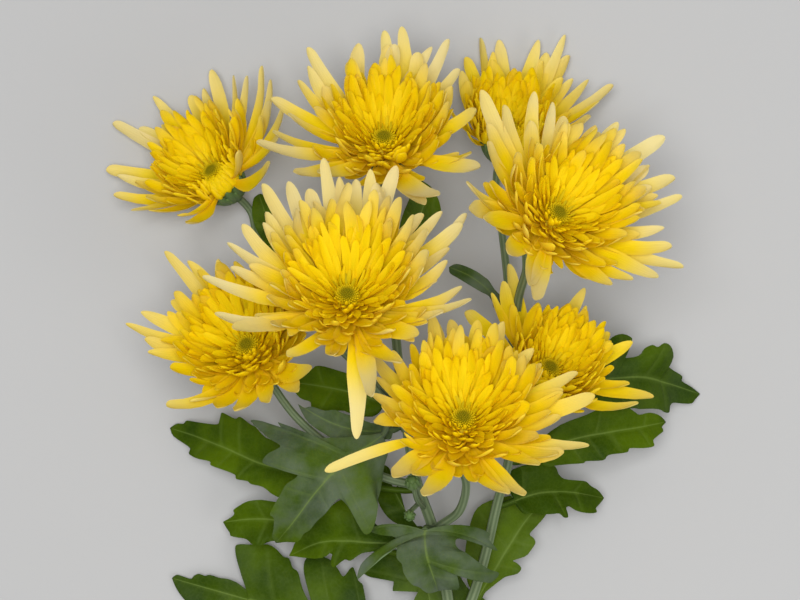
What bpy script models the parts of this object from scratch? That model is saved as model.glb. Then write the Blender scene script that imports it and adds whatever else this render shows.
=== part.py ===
"""A cut spray of a spider chrysanthemum, lying on its back.

One branching stem carries eight open blooms and its lobed leaves. +Z is up from the surface and
+Y runs from the cut end of the stem towards the blooms. The origin is on the surface, under the
middle of the spray. Lengths are worked out in millimetres and given to Blender in metres.
"""

import math
import random

import bmesh
import bpy
import numpy as np
from mathutils.bvhtree import BVHTree
from mathutils.kdtree import KDTree

MM = 0.001

# Driving sizes of the spray, in millimetres and degrees
MIDDLE = (1.4, -65.4)        # the middle of the spray's outline, which becomes the origin
SEAT = 0.3                   # gap between two pieces that touch
WHORL = 12                   # petals side by side round a bloom
PETAL_HALF_WIDTH = 2.5       # of an outer petal
PETAL_DEPTH = 1.0            # of a petal's keel under its channel
PETAL_CHANNEL = 0.5          # how far the edges stand up, as a share of the half width
LONGEST_PETAL = 50.0         # from the middle of the disc
OUTER_ANGLE = 74.0           # between an outer petal and the bloom's axis
DISC_RADIUS = 4.2
DISC_HEIGHT = 2.4
DISC_SIDES = 10
DISC_RINGS = ((1.0, 0.0), (0.92, 0.5), (0.62, 0.85), (0.3, 1.0))    # shares of radius and height
FLORET_LIFT = 0.4            # of every other corner of the disc, as a raised floret
DISC_SEAT = -0.7             # floor of the receptacle's hollow, where the disc sits
ROOT_SHRINK = 0.1            # share by which a petal's root is drawn in when it is tested
ROOT_LIFT = 0.35             # and how far it is lifted off the receptacle then
CORE_DEPTH = 7.4             # from the disc down to the green cup
CUP_RADIUS = 6.4             # green cup of bracts behind a bloom
CUP_DEPTH = 6.4
STEM_SIDES = 6
STEM_STEP = 16.0             # between two rings of a stem's corners
NECK = (24.0, 11.0)          # under the disc, where a stem turns onto the bloom's axis, and ends
LEAF_THICKNESS = 0.8
STALK_HALF_WIDTH = 1.1
FOLD_HEIGHT = 12.0           # a leaf's edges rise less below this height over the surface
PETAL_CLEARANCE = 1.9        # between sample points on petals, leaves and stems
LEAF_CLEARANCE = 1.2
SAMPLE_SPACING = 2.0
ROOT_ZONE = 6.0              # round its root, where a leaf may come near its stem
OWN_CLEARANCE = 0.25         # added all round a petal when it is tested against its own bloom
CROWDED = 12.0               # radius of the crowded roots
OWN_ZONE = 15.5              # round a bloom's disc, where its petals may come near its own cup
LEAF_RAISES = (0, 3, -3, 6, -6, 9, -9, 12, -12, 15)
FRONT_TO_BACK = ("bloom_5", "bloom_7", "bloom_4", "bloom_2", "bloom_6", "bloom_8", "bloom_1",
                 "bloom_3")
GOLDEN_ANGLE = 137.508       # between one point and the next that are spread over a ball
PETAL_CURL = (8, 5)          # degrees that a petal curls in from root to tip, and more each whorl
DROOP = 30                   # most degrees that a hanging petal turns down on its way
STEEPEST = 84                # degrees from the axis at which a petal may leave the receptacle
OUTER_SECTIONS = (0.3, 0.64, 0.93)   # places along a petal of the two outer whorls
INNER_SECTIONS = (0.48, 0.91)
LAYING = (0.0, 0.5, 0.9, 0.5)    # least height of a petal's keel, edge, channel and edge
FINE = 40                    # steps in which a petal's line is measured

# Rings of the receptacle, as radius and height over the disc's foot, from the cup to the disc. Each
# ring is turned half a petal on from the one below, so that four corners of three rings make the
# diamond that a petal grows from.
RINGS = ((5.4, -7.4), (8.0, -4.9), (8.8, -2.3), (8.3, 0.2), (7.2, 2.2), (5.8, 3.4))
# Whorls of petals from the outermost: angle from the axis, length and share of the full width
WHORLS = ((80, 38, 1.0), (67, 37, 0.96), (51, 30, 0.88), (33, 18, 0.72))

# Blooms: middle of the disc, lean of the axis from upright, heading of that lean in the XY plane,
# and the outline petals, each as its heading and its reach in that plane
BLOOMS = {
    "bloom_1": ((-67.5, 46.0, 23.0), 50, 133,
                ((6, 22), (25, 27), (41, 35), (57, 40), (66, 43), (79, 37), (92, 39), (109, 31),
                 (129, 35), (137, 28), (155, 41), (176, 41), (192, 38), (205, 33), (247, 21))),
    "bloom_2": ((-5.6, 55.9, 62.0), 40, 90,
                ((18, 34), (44, 37), (57, 43), (70, 34), (82, 42), (91, 40), (104, 36), (115, 31),
                 (129, 43), (145, 37), (160, 42), (183, 44), (203, 34), (307, 33), (342, 35))),
    "bloom_3": ((38.6, 62.0, 22.8), 50, 80,
                ((9, 31), (23, 43), (31, 36), (49, 37), (56, 40), (69, 34), (93, 34), (105, 36),
                 (119, 31), (129, 23))),
    "bloom_4": ((53.3, 28.9, 90.0), 37, 50,
                ((9, 44), (17, 43), (27, 36), (35, 47), (56, 39), (92, 39), (100, 43), (123, 50),
                 (128, 39), (163, 33), (178, 31), (216, 22), (252, 30), (306, 30), (326, 40),
                 (337, 46), (353, 37))),
    "bloom_5": ((-17.7, 1.0, 104.0), 35, 88,
                ((4, 39), (35, 49), (47, 38), (69, 48), (79, 44), (86, 40), (100, 49), (110, 39),
                 (117, 44), (127, 48), (146, 43), (156, 44), (172, 48), (189, 44), (275, 47),
                 (310, 28), (333, 27), (357, 42))),
    "bloom_6": ((-53.1, -16.4, 62.0), 35, 118,
                ((109, 33), (132, 45), (149, 32), (163, 40), (170, 44), (183, 35), (195, 28),
                 (217, 34), (246, 23), (262, 22), (296, 20), (321, 24), (343, 25))),
    "bloom_7": ((21.2, -40.4, 98.0), 35, 85,
                ((10, 45), (22, 42), (45, 34), (67, 36), (80, 34), (97, 34), (105, 35), (145, 39),
                 (164, 32), (181, 30), (200, 50), (218, 30), (240, 28), (309, 31), (330, 29),
                 (341, 33), (349, 42))),
    "bloom_8": ((52.2, -24.6, 55.0), 45, 60,
                ((17, 32), (30, 26), (47, 22), (64, 32), (98, 24), (111, 40), (127, 34), (145, 36),
                 (345, 38), (350, 29))),
}

# Stems: points on the way, radius at the start and the end, and the bloom that the stem carries
STEMS = {
    "main": (((30, -228, 2.77), (27, -196, 2.77), (23, -160, 4.5), (19, -125, 10), (17, -106, 17),
              (12, -83, 26), (6, -65, 35), (2, -43, 41), (-1, -18, 41), (-3, 7, 39), (-5, 28, 38)),
             3.2, 1.6, "bloom_2"),
    "right": (((19, -125, 10), (26, -110, 14), (31, -93, 20), (35, -74, 28), (39, -58, 32),
               (41, -40, 31), (41, -18, 33), (42, 0, 46), (44, 10, 62)), 2.3, 1.5, "bloom_4"),
    "right_low": (((41, -22, 32), (39, 7, 23), (37, 28, 13)), 1.6, 1.4, "bloom_3"),
    "right_side": (((39, -58, 32), (43, -47, 33)), 1.6, 1.5, "bloom_8"),
    "left_high": (((1, -37, 41), (-20, -19, 33), (-38, 2, 22), (-51, 20, 13)), 1.7, 1.4, "bloom_1"),
    "left_low": (((7, -67, 34), (-7, -63, 36), (-23, -54, 36), (-37, -42, 38)), 1.7, 1.4, "bloom_6"),
    "middle": (((2, -46, 40), (-4, -38, 51), (-13, -25, 66)), 1.8, 1.5, "bloom_5"),
    "front": (((12, -83, 26), (15, -80, 40), (21, -74, 54), (23, -64, 67)), 1.8, 1.5, "bloom_7"),
    "bud_stalk": (((9, -75, 30), (6, -71, 44), (4.6, -65, 54)), 1.1, 0.9, None),
    "second_bud_stalk": (((8, -72, 32), (4, -75, 42), (3.5, -76, 48)), 1.0, 0.8, None),
}
BUDS = {"bud_stalk": 2.6, "second_bud_stalk": 1.9}

# Leaves: root near the stem, tip, half width, height of the arch, sideways bend of the midrib,
# roll about the midrib, cut between the lobes (0 whole, 1 to the rib) and share of plain stalk.
# A tip below the surface is one that is pressed flat on it.
LEAVES = {
    "leaf_1": ((7, -68, 33), (-85, -47, -4), 13, 6, -4, 10, 0.5, 0.26),
    "leaf_2": ((-3, -42, 48), (-43, -86, 44), 21, 12, -6, -18, 0.5, 0.10),
    "leaf_3": ((1, -44, 41), (-37, -39, 40), 9, 4, 3, 15, 0.40, 0.12),
    "leaf_4": ((0, -36, 41), (-40, -29, 24), 9, 5, 2, 10, 0.40, 0.14),
    "leaf_5": ((14, -92, 22), (-65, -82, 10), 9, 5, 4, 0, 0.45, 0.30),
    "leaf_6": ((19, -124, 10), (-84, -102, -4), 22, 8, 8, 0, 0.62, 0.20),
    "leaf_7": ((12, -84, 26), (-40, -94, 16), 10, 4, 2, 0, 0.50, 0.16),
    "leaf_8": ((13, -88, 24), (-5, -60, 20), 7, 2, 2, 0, 0.35, 0.14),
    "leaf_9": ((14, -79, 36), (11, -106, 40), 18, 12, 0, 0, 0.6, 0.14),
    "leaf_10": ((40, -32, 31), (111, -35, -4), 15, 5, -6, -10, 0.55, 0.16),
    "leaf_11": ((39, -58, 32), (98, -45, 12), 12, 3, 5, 0, 0.45, 0.16),
    "leaf_12": ((35, -74, 28), (76, -73, 8), 12, 4, 3, 0, 0.50, 0.10),
    "leaf_13": ((26, -110, 14), (54, -75, 8), 10, 3, -3, 0, 0.35, 0.12),
    "leaf_14": ((41, -10, 37), (17, 12, 44), 5, 3, 2, 0, 0.30, 0.20),
    "leaf_15": ((-4, 14, 38), (9, 43, 40), 6, 2, -2, 0, 0.30, 0.16),
    "leaf_16": ((-42, 7, 19), (-50, 39, 10), 6, 2, -2, 0, 0.30, 0.16),
    "leaf_17": ((21, -142, 7), (12, -101, 3), 13, 3, 2, 0, 0.50, 0.20),
}
# Edge of a leaf's blade: place along the midrib and half width, both as shares, three pairs of
# lobes and the lobe at the tip. A leaf's cut narrows the notches between them.
LEAF_EDGE = ((0.0, 0.10), (0.13, 0.60), (0.22, 0.78), (0.28, 0.86), (0.35, 0.80), (0.46, 1.0),
             (0.54, 0.94), (0.59, 0.88), (0.66, 0.72), (0.75, 0.70), (0.80, 0.60), (0.89, 0.42),
             (1.0, 0.06))
NOTCHES = (3, 7, 10)         # which of those points are notches
LOBE_SWEEP = 0.35            # how far the edge leans towards the tip, as a share of its half width
LEAF_FOLD = 0.22             # rise of the edges over the midrib, as a share of the half width

PETAL_YELLOW = (0.95, 0.68, 0.03, 1.0)
DISC_GREEN = (0.30, 0.34, 0.03, 1.0)
LEAF_GREEN = (0.05, 0.14, 0.03, 1.0)
STEM_GREEN = (0.16, 0.24, 0.09, 1.0)


def clear_scene():
    """Removes what a new Blender file holds."""
    for thing in list(bpy.data.objects):
        bpy.data.objects.remove(thing)


def material(name, colour, roughness):
    """A Principled material of one colour."""
    made = bpy.data.materials.new(name)
    made.use_nodes = True
    shader = made.node_tree.nodes["Principled BSDF"]
    shader.inputs["Base Color"].default_value = colour
    shader.inputs["Roughness"].default_value = roughness
    shader.inputs["Metallic"].default_value = 0.0
    return made


def unit(vector):
    """The vector at length 1."""
    return vector / np.linalg.norm(vector)


def bezier(start, middle, end, count):
    """count points on the quadratic curve from start to end, drawn towards middle."""
    t = np.linspace(0.0, 1.0, count)[:, None]
    return (1 - t) ** 2 * start + 2 * t * (1 - t) * middle + t ** 2 * end


def smooth_line(points, step):
    """Points about step apart on the Catmull-Rom curve through the given points."""
    p = np.array(points, dtype=float)
    p = np.vstack([2 * p[0] - p[1], p, 2 * p[-1] - p[-2]])
    out = []
    for a, b, c, d in zip(p[:-3], p[1:-2], p[2:-1], p[3:]):
        count = max(1, round(float(np.linalg.norm(c - b)) / step))
        for t in np.arange(count) / count:
            out.append(0.5 * (2 * b + (c - a) * t + (2 * a - 5 * b + 4 * c - d) * t ** 2
                              + (3 * b - a - 3 * c + d) * t ** 3))
    out.append(p[-2])
    return np.array(out)


def new_object(name, verts, faces, stuff):
    """An object from corners in millimetres and faces."""
    mesh = bpy.data.meshes.new(name)
    shifted = [((x - MIDDLE[0]) * MM, (y - MIDDLE[1]) * MM, z * MM) for x, y, z in verts]
    mesh.from_pydata(shifted, [], faces)
    mesh.materials.append(stuff)
    thing = bpy.data.objects.new(name, mesh)
    bpy.context.scene.collection.objects.link(thing)
    return thing


def loft(rings, closing_point=None):
    """Faces and corners of a solid that runs from the first ring of points to the last.

    Each ring turns anticlockwise as seen from the far end. The last ring closes on a point, or flat.
    """
    sides = len(rings[0])
    verts = [tuple(p) for ring in rings for p in ring]
    faces = [tuple(reversed(range(sides)))]
    for k in range(len(rings) - 1):
        low, high = k * sides, (k + 1) * sides
        for i in range(sides):
            j = (i + 1) % sides
            faces.append((low + i, low + j, high + j))
            faces.append((low + i, high + j, high + i))
    last = (len(rings) - 1) * sides
    if closing_point is None:
        faces.append(tuple(range(last, last + sides)))
    else:
        verts.append(tuple(closing_point))
        faces += [(last + i, last + (i + 1) % sides, len(verts) - 1) for i in range(sides)]
    return verts, faces


def turned(centre, axis, profile, sides):
    """Corners and faces of a solid turned about an axis from (radius, height) points, bottom first."""
    across = unit(np.cross(axis, (0.31, 0.17, 0.93)))
    other = np.cross(axis, across)
    angles = np.arange(sides) * 2 * math.pi / sides
    around = np.cos(angles)[:, None] * across + np.sin(angles)[:, None] * other
    return loft([centre + axis * height + around * radius for radius, height in profile])


def fuse(name, pieces, stuff):
    """Joins closed pieces, given as (corners, faces), in one body with a Boolean union."""
    base = new_object(name, *pieces[0], stuff)
    group = bpy.data.collections.new(name + "_pieces")
    for verts, faces in pieces[1:]:
        piece = new_object(name + "_piece", verts, faces, stuff)
        bpy.context.scene.collection.objects.unlink(piece)
        group.objects.link(piece)
    bpy.context.scene.collection.children.link(group)
    union = base.modifiers.new("Union", "BOOLEAN")
    union.operation = "UNION"
    union.operand_type = "COLLECTION"
    union.collection = group
    union.solver = "EXACT"
    graph = bpy.context.evaluated_depsgraph_get()
    joined = bpy.data.meshes.new_from_object(base.evaluated_get(graph))
    base.modifiers.clear()
    base.data = joined
    for piece in list(group.objects):
        bpy.data.objects.remove(piece)
    bpy.data.collections.remove(group)
    keep_largest(base)
    return base


def keep_largest(thing):
    """Drops loose scraps and sealed hollows, so that one body is left."""
    bm = bmesh.new()
    bm.from_mesh(thing.data)
    bmesh.ops.triangulate(bm, faces=bm.faces)
    unseen = set(bm.faces)
    islands = []
    while unseen:
        island = {unseen.pop()}
        front = list(island)
        while front:
            face = front.pop()
            for edge in face.edges:
                for other in edge.link_faces:
                    if other in unseen:
                        unseen.remove(other)
                        island.add(other)
                        front.append(other)
        islands.append(island)
    largest = max(islands, key=len)
    loose = [face for island in islands if island is not largest for face in island]
    bmesh.ops.delete(bm, geom=loose, context="FACES")
    bmesh.ops.dissolve_limit(bm, angle_limit=0.01, verts=bm.verts, edges=bm.edges)
    bmesh.ops.triangulate(bm, faces=bm.faces)
    bm.to_mesh(thing.data)
    bm.free()


class Bloom:
    """Where one bloom stands, with its own axes: across, other and axis."""

    def __init__(self, name):
        centre, lean, heading, self.outline = BLOOMS[name]
        self.name = name
        self.centre = np.array(centre)
        lean, heading = math.radians(lean), math.radians(heading)
        self.axis = np.array([math.sin(lean) * math.cos(heading),
                              math.sin(lean) * math.sin(heading), math.cos(lean)])
        self.across = np.array([-math.sin(heading), math.cos(heading), 0.0])
        self.other = np.cross(self.axis, self.across)
        self.random = random.Random(name)

    def outward(self, turn):
        """Unit vector away from the axis, at turn radians about it."""
        return math.cos(turn) * self.across + math.sin(turn) * self.other

    def towards(self, turn, angle):
        """Unit vector at angle radians from the axis."""
        return math.sin(angle) * self.outward(turn) + math.cos(angle) * self.axis

    def aim(self, heading, reach):
        """Turn, angle and length of the petal that shows this heading and reach from above."""
        turns = np.radians(np.arange(0, 360, 2))
        best = None
        for angle in np.radians(np.arange(46, 126, 2)):
            ways = (math.sin(angle) * (np.cos(turns)[:, None] * self.across
                                       + np.sin(turns)[:, None] * self.other)
                    + math.cos(angle) * self.axis)
            off = (np.degrees(np.arctan2(ways[:, 1], ways[:, 0])) - heading + 180) % 360 - 180
            k = int(np.argmin(np.abs(off)))
            length = reach / math.hypot(ways[k, 0], ways[k, 1])
            cost = abs(math.degrees(angle) - OUTER_ANGLE) + 4 * max(0.0, length - LONGEST_PETAL)
            cost += 3 * abs(off[k])
            if best is None or cost < best[0]:
                best = (cost, turns[k], angle, min(length, LONGEST_PETAL))
        return best[1:]


class Petal:
    """One petal: the whorl and place that it grows from, and the turn, angle and length of its tip."""

    def __init__(self, bloom, whorl, place, turn, angle, length):
        self.bloom = bloom
        self.whorl = whorl
        self.place = place
        self.root_turn = cell_turn(whorl, place)
        swing = (turn - self.root_turn + math.pi) % (2 * math.pi) - math.pi
        self.turn = self.root_turn + swing
        self.angle = angle
        self.length = length
        self.half_width = PETAL_HALF_WIDTH * WHORLS[whorl][2]

    def bent(self, lift, swing, share):
        """The same petal, moved by degrees of lift and swing, and cut to a share of its length."""
        return Petal(self.bloom, self.whorl, self.place, self.turn + math.radians(swing),
                     self.angle + math.radians(lift), self.length * share)

    def line(self, count):
        """Middle line: a quadratic curve that starts wider of the axis than its tip, and curls in."""
        bloom = self.bloom
        radius, height = RINGS[self.whorl + 1]
        root = bloom.centre + bloom.outward(self.root_turn) * radius + bloom.axis * height
        tip = bloom.centre + bloom.towards(self.turn, self.angle) * self.length
        curl = PETAL_CURL[0] + PETAL_CURL[1] * self.whorl
        start = min(self.angle + math.radians(curl), math.radians(STEEPEST))
        start = max(start, self.angle - math.radians(DROOP))
        way = bloom.towards((self.root_turn + self.turn) / 2, start)
        return bezier(root, root + way * (0.5 * float(np.linalg.norm(tip - root))), tip, count)

    def frame(self, line):
        """Unit vectors across the petal and up from its channel, at each point of its line."""
        along = np.gradient(line, axis=0)
        along /= np.linalg.norm(along, axis=1)[:, None]
        side = np.cross(self.bloom.axis, self.bloom.outward((self.root_turn + self.turn) / 2))
        side = side - (along @ side)[:, None] * along
        side /= np.linalg.norm(side, axis=1)[:, None]
        return side, np.cross(along, side)

    def sections(self, grown=0.0):
        """Keel, right edge, channel and left edge of each section after the root, and the tip."""
        places = OUTER_SECTIONS if self.whorl < 2 else INNER_SECTIONS
        line = self.line(FINE + 1)
        side, up = self.frame(line)
        rings = []
        for place in places:
            k = round(place * FINE)
            across = side[k] * (self.half_width * petal_width(place) + grown)
            lift = up[k] * (PETAL_CHANNEL * self.half_width * petal_width(place) + grown)
            ring = np.array([line[k] - up[k] * (PETAL_DEPTH + grown), line[k] + across + lift,
                             line[k] + up[k] * grown, line[k] - across + lift])
            ring[:, 2] = np.maximum(ring[:, 2], LAYING)
            rings.append(ring)
        tip = line[-1].copy()
        tip[2] = max(tip[2], LAYING[1])
        return rings, tip

    def samples(self):
        """Points on the petal's middle and edges."""
        line = self.line(max(8, round(self.length / 1.4)))
        side, up = self.frame(line)
        across, lift = side * self.half_width, up * PETAL_CHANNEL * self.half_width
        points = np.vstack([line, line - across + lift, line + across + lift])
        points[:, 2] = np.maximum(points[:, 2], LAYING[2])
        return points[np.linalg.norm(points - self.bloom.centre, axis=1) > CROWDED]


def hub_corners(bloom):
    """Corners of the receptacle, ring by ring, and of the seat inside the last ring."""
    corners = []
    for ring, (radius, height) in enumerate(RINGS + ((DISC_RADIUS + 0.6, DISC_SEAT),)):
        turns = (np.arange(WHORL) + 0.5 * ring) * 2 * math.pi / WHORL
        corners += [bloom.centre + bloom.outward(turn) * radius + bloom.axis * height
                    for turn in turns]
    return corners


def diamond(whorl, place):
    """Numbers of the receptacle's corners round the root of a petal: keel, right, channel, left."""
    return [whorl * WHORL + place % WHORL, (whorl + 1) * WHORL + place % WHORL,
            (whorl + 2) * WHORL + (place - 1) % WHORL, (whorl + 1) * WHORL + (place - 1) % WHORL]


def grow(low, verts, rings, tip):
    """Adds a petal's sections and tip to verts, and gives its faces, from the corners named in low."""
    faces = []
    for ring in rings:
        high = list(range(len(verts), len(verts) + 4))
        verts += list(ring)
        for i in range(4):
            j = (i + 1) % 4
            faces += [(low[i], low[j], high[j]), (low[i], high[j], high[i])]
        low = high
    verts.append(tip)
    return faces + [(low[i], low[(i + 1) % 4], len(verts) - 1) for i in range(4)]


def test_shape(petal, corners):
    """A search tree of the petal's faces, grown a little and lifted off the receptacle."""
    root = np.array([corners[k] for k in diamond(petal.whorl, petal.place)])
    middle = root.mean(axis=0)
    lifted = root + ROOT_SHRINK * (middle - root) + ROOT_LIFT * petal.bloom.outward(petal.root_turn)
    verts = list(lifted)
    faces = grow([0, 1, 2, 3], verts, *petal.sections(OWN_CLEARANCE))
    return BVHTree.FromPolygons([tuple(v) for v in verts], faces)


def petal_width(place):
    """Share of a petal's full width: narrow at the root, full past the middle, blunt at the tip."""
    return min(1.0, 0.5 + 1.2 * place) * (1.0 - 0.3 * max(0.0, (place - 0.7) / 0.3) ** 2)


def tree_of(groups):
    """A search tree over groups of points."""
    points = np.vstack(groups)
    tree = KDTree(len(points))
    for k, point in enumerate(points):
        tree.insert(point, k)
    tree.balance()
    return tree


def is_clear(tree, points, distance):
    """Whether every point keeps its distance from those in the tree."""
    return all(tree.find(point)[2] > distance for point in points)


def bends():
    """Changes to try on a petal that would cross another piece: angle, turn and share of length."""
    yield 0.0, 0.0, 1.0
    for share in (1.0, 0.86, 0.72, 0.58):
        for lift in (6, 12, 18, 26):
            for swing in (0, 5, -5, 10, -10):
                yield -lift, swing, share
                yield lift, swing, share


def cell_turn(whorl, place):
    """Turn about the axis at which the petal of this whorl and place leaves the receptacle."""
    return (place + 0.5 * whorl) * 2 * math.pi / WHORL


def swing_cost(aim, cell):
    """How badly a place in a whorl suits a petal of the outline, with sideways bends counted most."""
    off = (math.degrees(aim[0] - cell_turn(*cell)) + 180) % 360 - 180
    return off ** 2 + 2 * abs(math.degrees(aim[1]) - WHORLS[cell[0]][0])


def share_places(aims, cells):
    """The best place for each outline petal, found by moves and swaps while any makes it better."""
    given = list(range(len(aims)))
    cost = [[swing_cost(aim, cell) for cell in cells] for aim in aims]
    better = True
    while better:
        better = False
        for a in range(len(aims)):
            for c in range(len(cells)):
                b = given.index(c) if c in given else None
                now = cost[a][given[a]] + (cost[b][c] if b is not None else 0)
                then = cost[a][c] + (cost[b][given[a]] if b is not None else 0)
                if then < now - 1e-6:
                    if b is not None:
                        given[b] = given[a]
                    given[a] = c
                    better = True
    return [cells[c] for c in given]


def wanted_petals(bloom):
    """The petals of a bloom before any is bent: the outline's, longest first, then whorl by whorl."""
    aims = sorted((bloom.aim(heading, reach) for heading, reach in bloom.outline),
                  key=lambda aim: -aim[2])
    cells = [(whorl, place) for whorl in range(len(WHORLS)) for place in range(WHORL)]
    places = share_places(aims, cells[:2 * WHORL])
    wanted = {cell: Petal(bloom, *cell, *aim) for cell, aim in zip(places, aims)}
    for cell in cells:
        if cell not in wanted:
            angle, length, _ = WHORLS[cell[0]]
            turn = cell_turn(*cell) + math.radians(bloom.random.uniform(-4, 4))
            angle = math.radians(angle + bloom.random.uniform(-4, 4))
            length *= bloom.random.uniform(0.9, 1.06)
            wanted[cell] = Petal(bloom, *cell, turn, angle, length)
    return wanted


def place_petals(bloom, tree):
    """The petals of a bloom by whorl and place, bent clear of other pieces and of each other."""
    corners = hub_corners(bloom)
    placed = {}
    shapes = []
    for cell, petal in wanted_petals(bloom).items():
        for lift, swing, share in bends():
            tried = petal.bent(lift, swing, share)
            shape = test_shape(tried, corners)
            if any(shape.overlap(other) for other in shapes):
                continue
            if is_clear(tree, tried.samples(), PETAL_CLEARANCE):
                placed[cell] = tried
                shapes.append(shape)
                break
    return placed


def make_bloom(bloom, petals, petal_stuff, disc_stuff):
    """The two nodes of a bloom: its petals, raised from the receptacle's diamonds, and its disc."""
    verts = hub_corners(bloom)
    last = (len(RINGS) - 1) * WHORL
    inner = last + WHORL
    faces = [tuple(reversed(range(WHORL))), tuple(range(inner, inner + WHORL))]
    for i in range(WHORL):
        after, before = (i + 1) % WHORL, (i - 1) % WHORL
        faces.append((i, after, WHORL + i))
        faces.append((last - WHORL + i, last + i, last + before))
        faces.append((last + i, inner + i, inner + before))
        faces.append((last + i, last + after, inner + i))
    for whorl in range(len(WHORLS)):
        for place in range(WHORL):
            low = diamond(whorl, place)
            if (whorl, place) in petals:
                faces += grow(low, verts, *petals[whorl, place].sections())
            else:
                faces += [(low[0], low[1], low[3]), (low[1], low[2], low[3])]
    new_object(bloom.name + "_petals", verts, faces, petal_stuff)
    make_disc(bloom, bloom.centre + bloom.axis * (DISC_SEAT + SEAT), disc_stuff)


def make_disc(bloom, seat, stuff):
    """The boss of disc florets, with a raised dot for each floret."""
    rings = []
    for ring, (radius, height) in enumerate(DISC_RINGS):
        angles = (np.arange(DISC_SIDES) + 0.5 * ring) * 2 * math.pi / DISC_SIDES
        lift = np.where(np.arange(DISC_SIDES) % 2 == 0, FLORET_LIFT, 0.0) * (ring > 0)
        around = np.cos(angles)[:, None] * bloom.across + np.sin(angles)[:, None] * bloom.other
        rings.append(seat + around * (radius * (DISC_RADIUS - 0.4))
                     + bloom.axis * (height * DISC_HEIGHT + lift)[:, None])
    top = seat + bloom.axis * (DISC_HEIGHT + FLORET_LIFT / 2)
    new_object(bloom.name + "_centre", *loft(rings, top), stuff)


def stem_line(name, blooms, step):
    """Middle line of a stem and its radius at each point."""
    points, first, last, carried = STEMS[name]
    points = [np.array(p, dtype=float) for p in points]
    if carried:
        bloom = blooms[carried]
        points += [bloom.centre - bloom.axis * depth for depth in NECK]
    line = smooth_line(points, step)
    walked = np.concatenate([[0], np.cumsum(np.linalg.norm(np.diff(line, axis=0), axis=1))])
    radius = first + (last - first) * np.sqrt(walked / walked[-1])
    return line, radius


def tube(line, radius, sides):
    """Corners and faces of a round stem along a line."""
    along = np.gradient(line, axis=0)
    along /= np.linalg.norm(along, axis=1)[:, None]
    side = unit(np.cross(along[0], (0.0, 0.0, 1.0)))
    angles = np.arange(sides) * 2 * math.pi / sides
    rings = []
    for point, way, r in zip(line, along, radius):
        side = unit(side - (side @ way) * way)
        other = np.cross(way, side)
        rings.append(point + r * (np.cos(angles)[:, None] * side + np.sin(angles)[:, None] * other))
    return loft(rings)


def make_stem(blooms, stuff):
    """The branching stem with the cups behind the blooms and two closed buds, in one body."""
    solids = []
    for name, (_, _, _, carried) in STEMS.items():
        line, radius = stem_line(name, blooms, STEM_STEP)
        solids.append(tube(line, radius, STEM_SIDES))
        if name in BUDS:
            size = BUDS[name]
            way = unit(line[-1] - line[-2])
            solids.append(turned(line[-1] + way * size * 0.6, way,
                                 ((0.45 * size, -0.9 * size), (size, -0.2 * size),
                                  (0.9 * size, 0.4 * size), (0.3 * size, 0.95 * size)), 8))
        if carried:
            bloom = blooms[carried]
            top = -CORE_DEPTH - SEAT
            solids.append(turned(bloom.centre, bloom.axis,
                                 ((1.8, top - CUP_DEPTH), (0.8 * CUP_RADIUS, top - 0.6 * CUP_DEPTH),
                                  (CUP_RADIUS, top - 0.2 * CUP_DEPTH), (RINGS[0][0], top)), 8))
    fuse("stem", solids, stuff)


def leaf_rows(name, root, out, raised, edge, stalk_steps):
    """Rows of left edge, midrib and right edge of a leaf, from its root to its tip.

    The midrib is a cubic curve that leaves the stem at a right angle. The stalk is the narrow start
    of the same strip. Edges rise over the midrib, less so where the leaf comes down to the surface.
    """
    _, tip, half_width, arch, bend, roll, cut, stalk = LEAVES[name]
    tip = np.array(tip, dtype=float) + np.array([0.0, 0.0, raised])
    chord = tip - root
    flat = unit(np.array([-chord[1], chord[0], 0.0]))
    reach = float(np.linalg.norm(chord))
    first = root + out * 0.16 * reach + chord * 0.12 + np.array([0.0, 0.0, 0.5 * arch + raised])
    second = root + chord * 0.68 + flat * bend
    second[2] = tip[2] + (arch if tip[2] > 0 else 0.0)
    places = np.concatenate([np.linspace(0, stalk, stalk_steps, endpoint=False),
                             stalk + (1 - stalk) * edge[:, 0]])
    t = places[:, None]
    rib = ((1 - t) ** 3 * root + 3 * (1 - t) ** 2 * t * first
           + 3 * (1 - t) * t ** 2 * second + t ** 3 * tip)
    along = np.gradient(rib, axis=0)
    along[0] = out
    along /= np.linalg.norm(along, axis=1)[:, None]
    side = flat - (along @ flat)[:, None] * along
    side /= np.linalg.norm(side, axis=1)[:, None]
    up = np.cross(along, side)
    turn = math.radians(roll) * np.clip(places / stalk, 0, 1)[:, None]
    side = side * np.cos(turn) + up * np.sin(turn)
    up = np.cross(along, side)
    half = np.concatenate([np.full(stalk_steps, STALK_HALF_WIDTH),
                           np.maximum(half_width * edge[:, 1], 0.5)])[:, None]
    is_blade = places >= stalk
    near_tip = np.clip((t - 0.85) / 0.15, 0, 1)
    lean = along * half * LOBE_SWEEP * is_blade[:, None] * (1 - near_tip)
    height = np.clip(rib[:, 2:] / FOLD_HEIGHT, 0, 1)
    rise = up * half * LEAF_FOLD * is_blade[:, None] * height
    rows = np.stack([rib + side * half + lean + rise, rib, rib - side * half + lean + rise], axis=1)
    return rows, up, is_blade


def leaf_edge(cut):
    """The lobed edge of a blade: places along the midrib and half widths, with its notches cut in."""
    edge = np.array(LEAF_EDGE)
    edge[list(NOTCHES), 1] *= 1 - cut
    return edge


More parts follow.
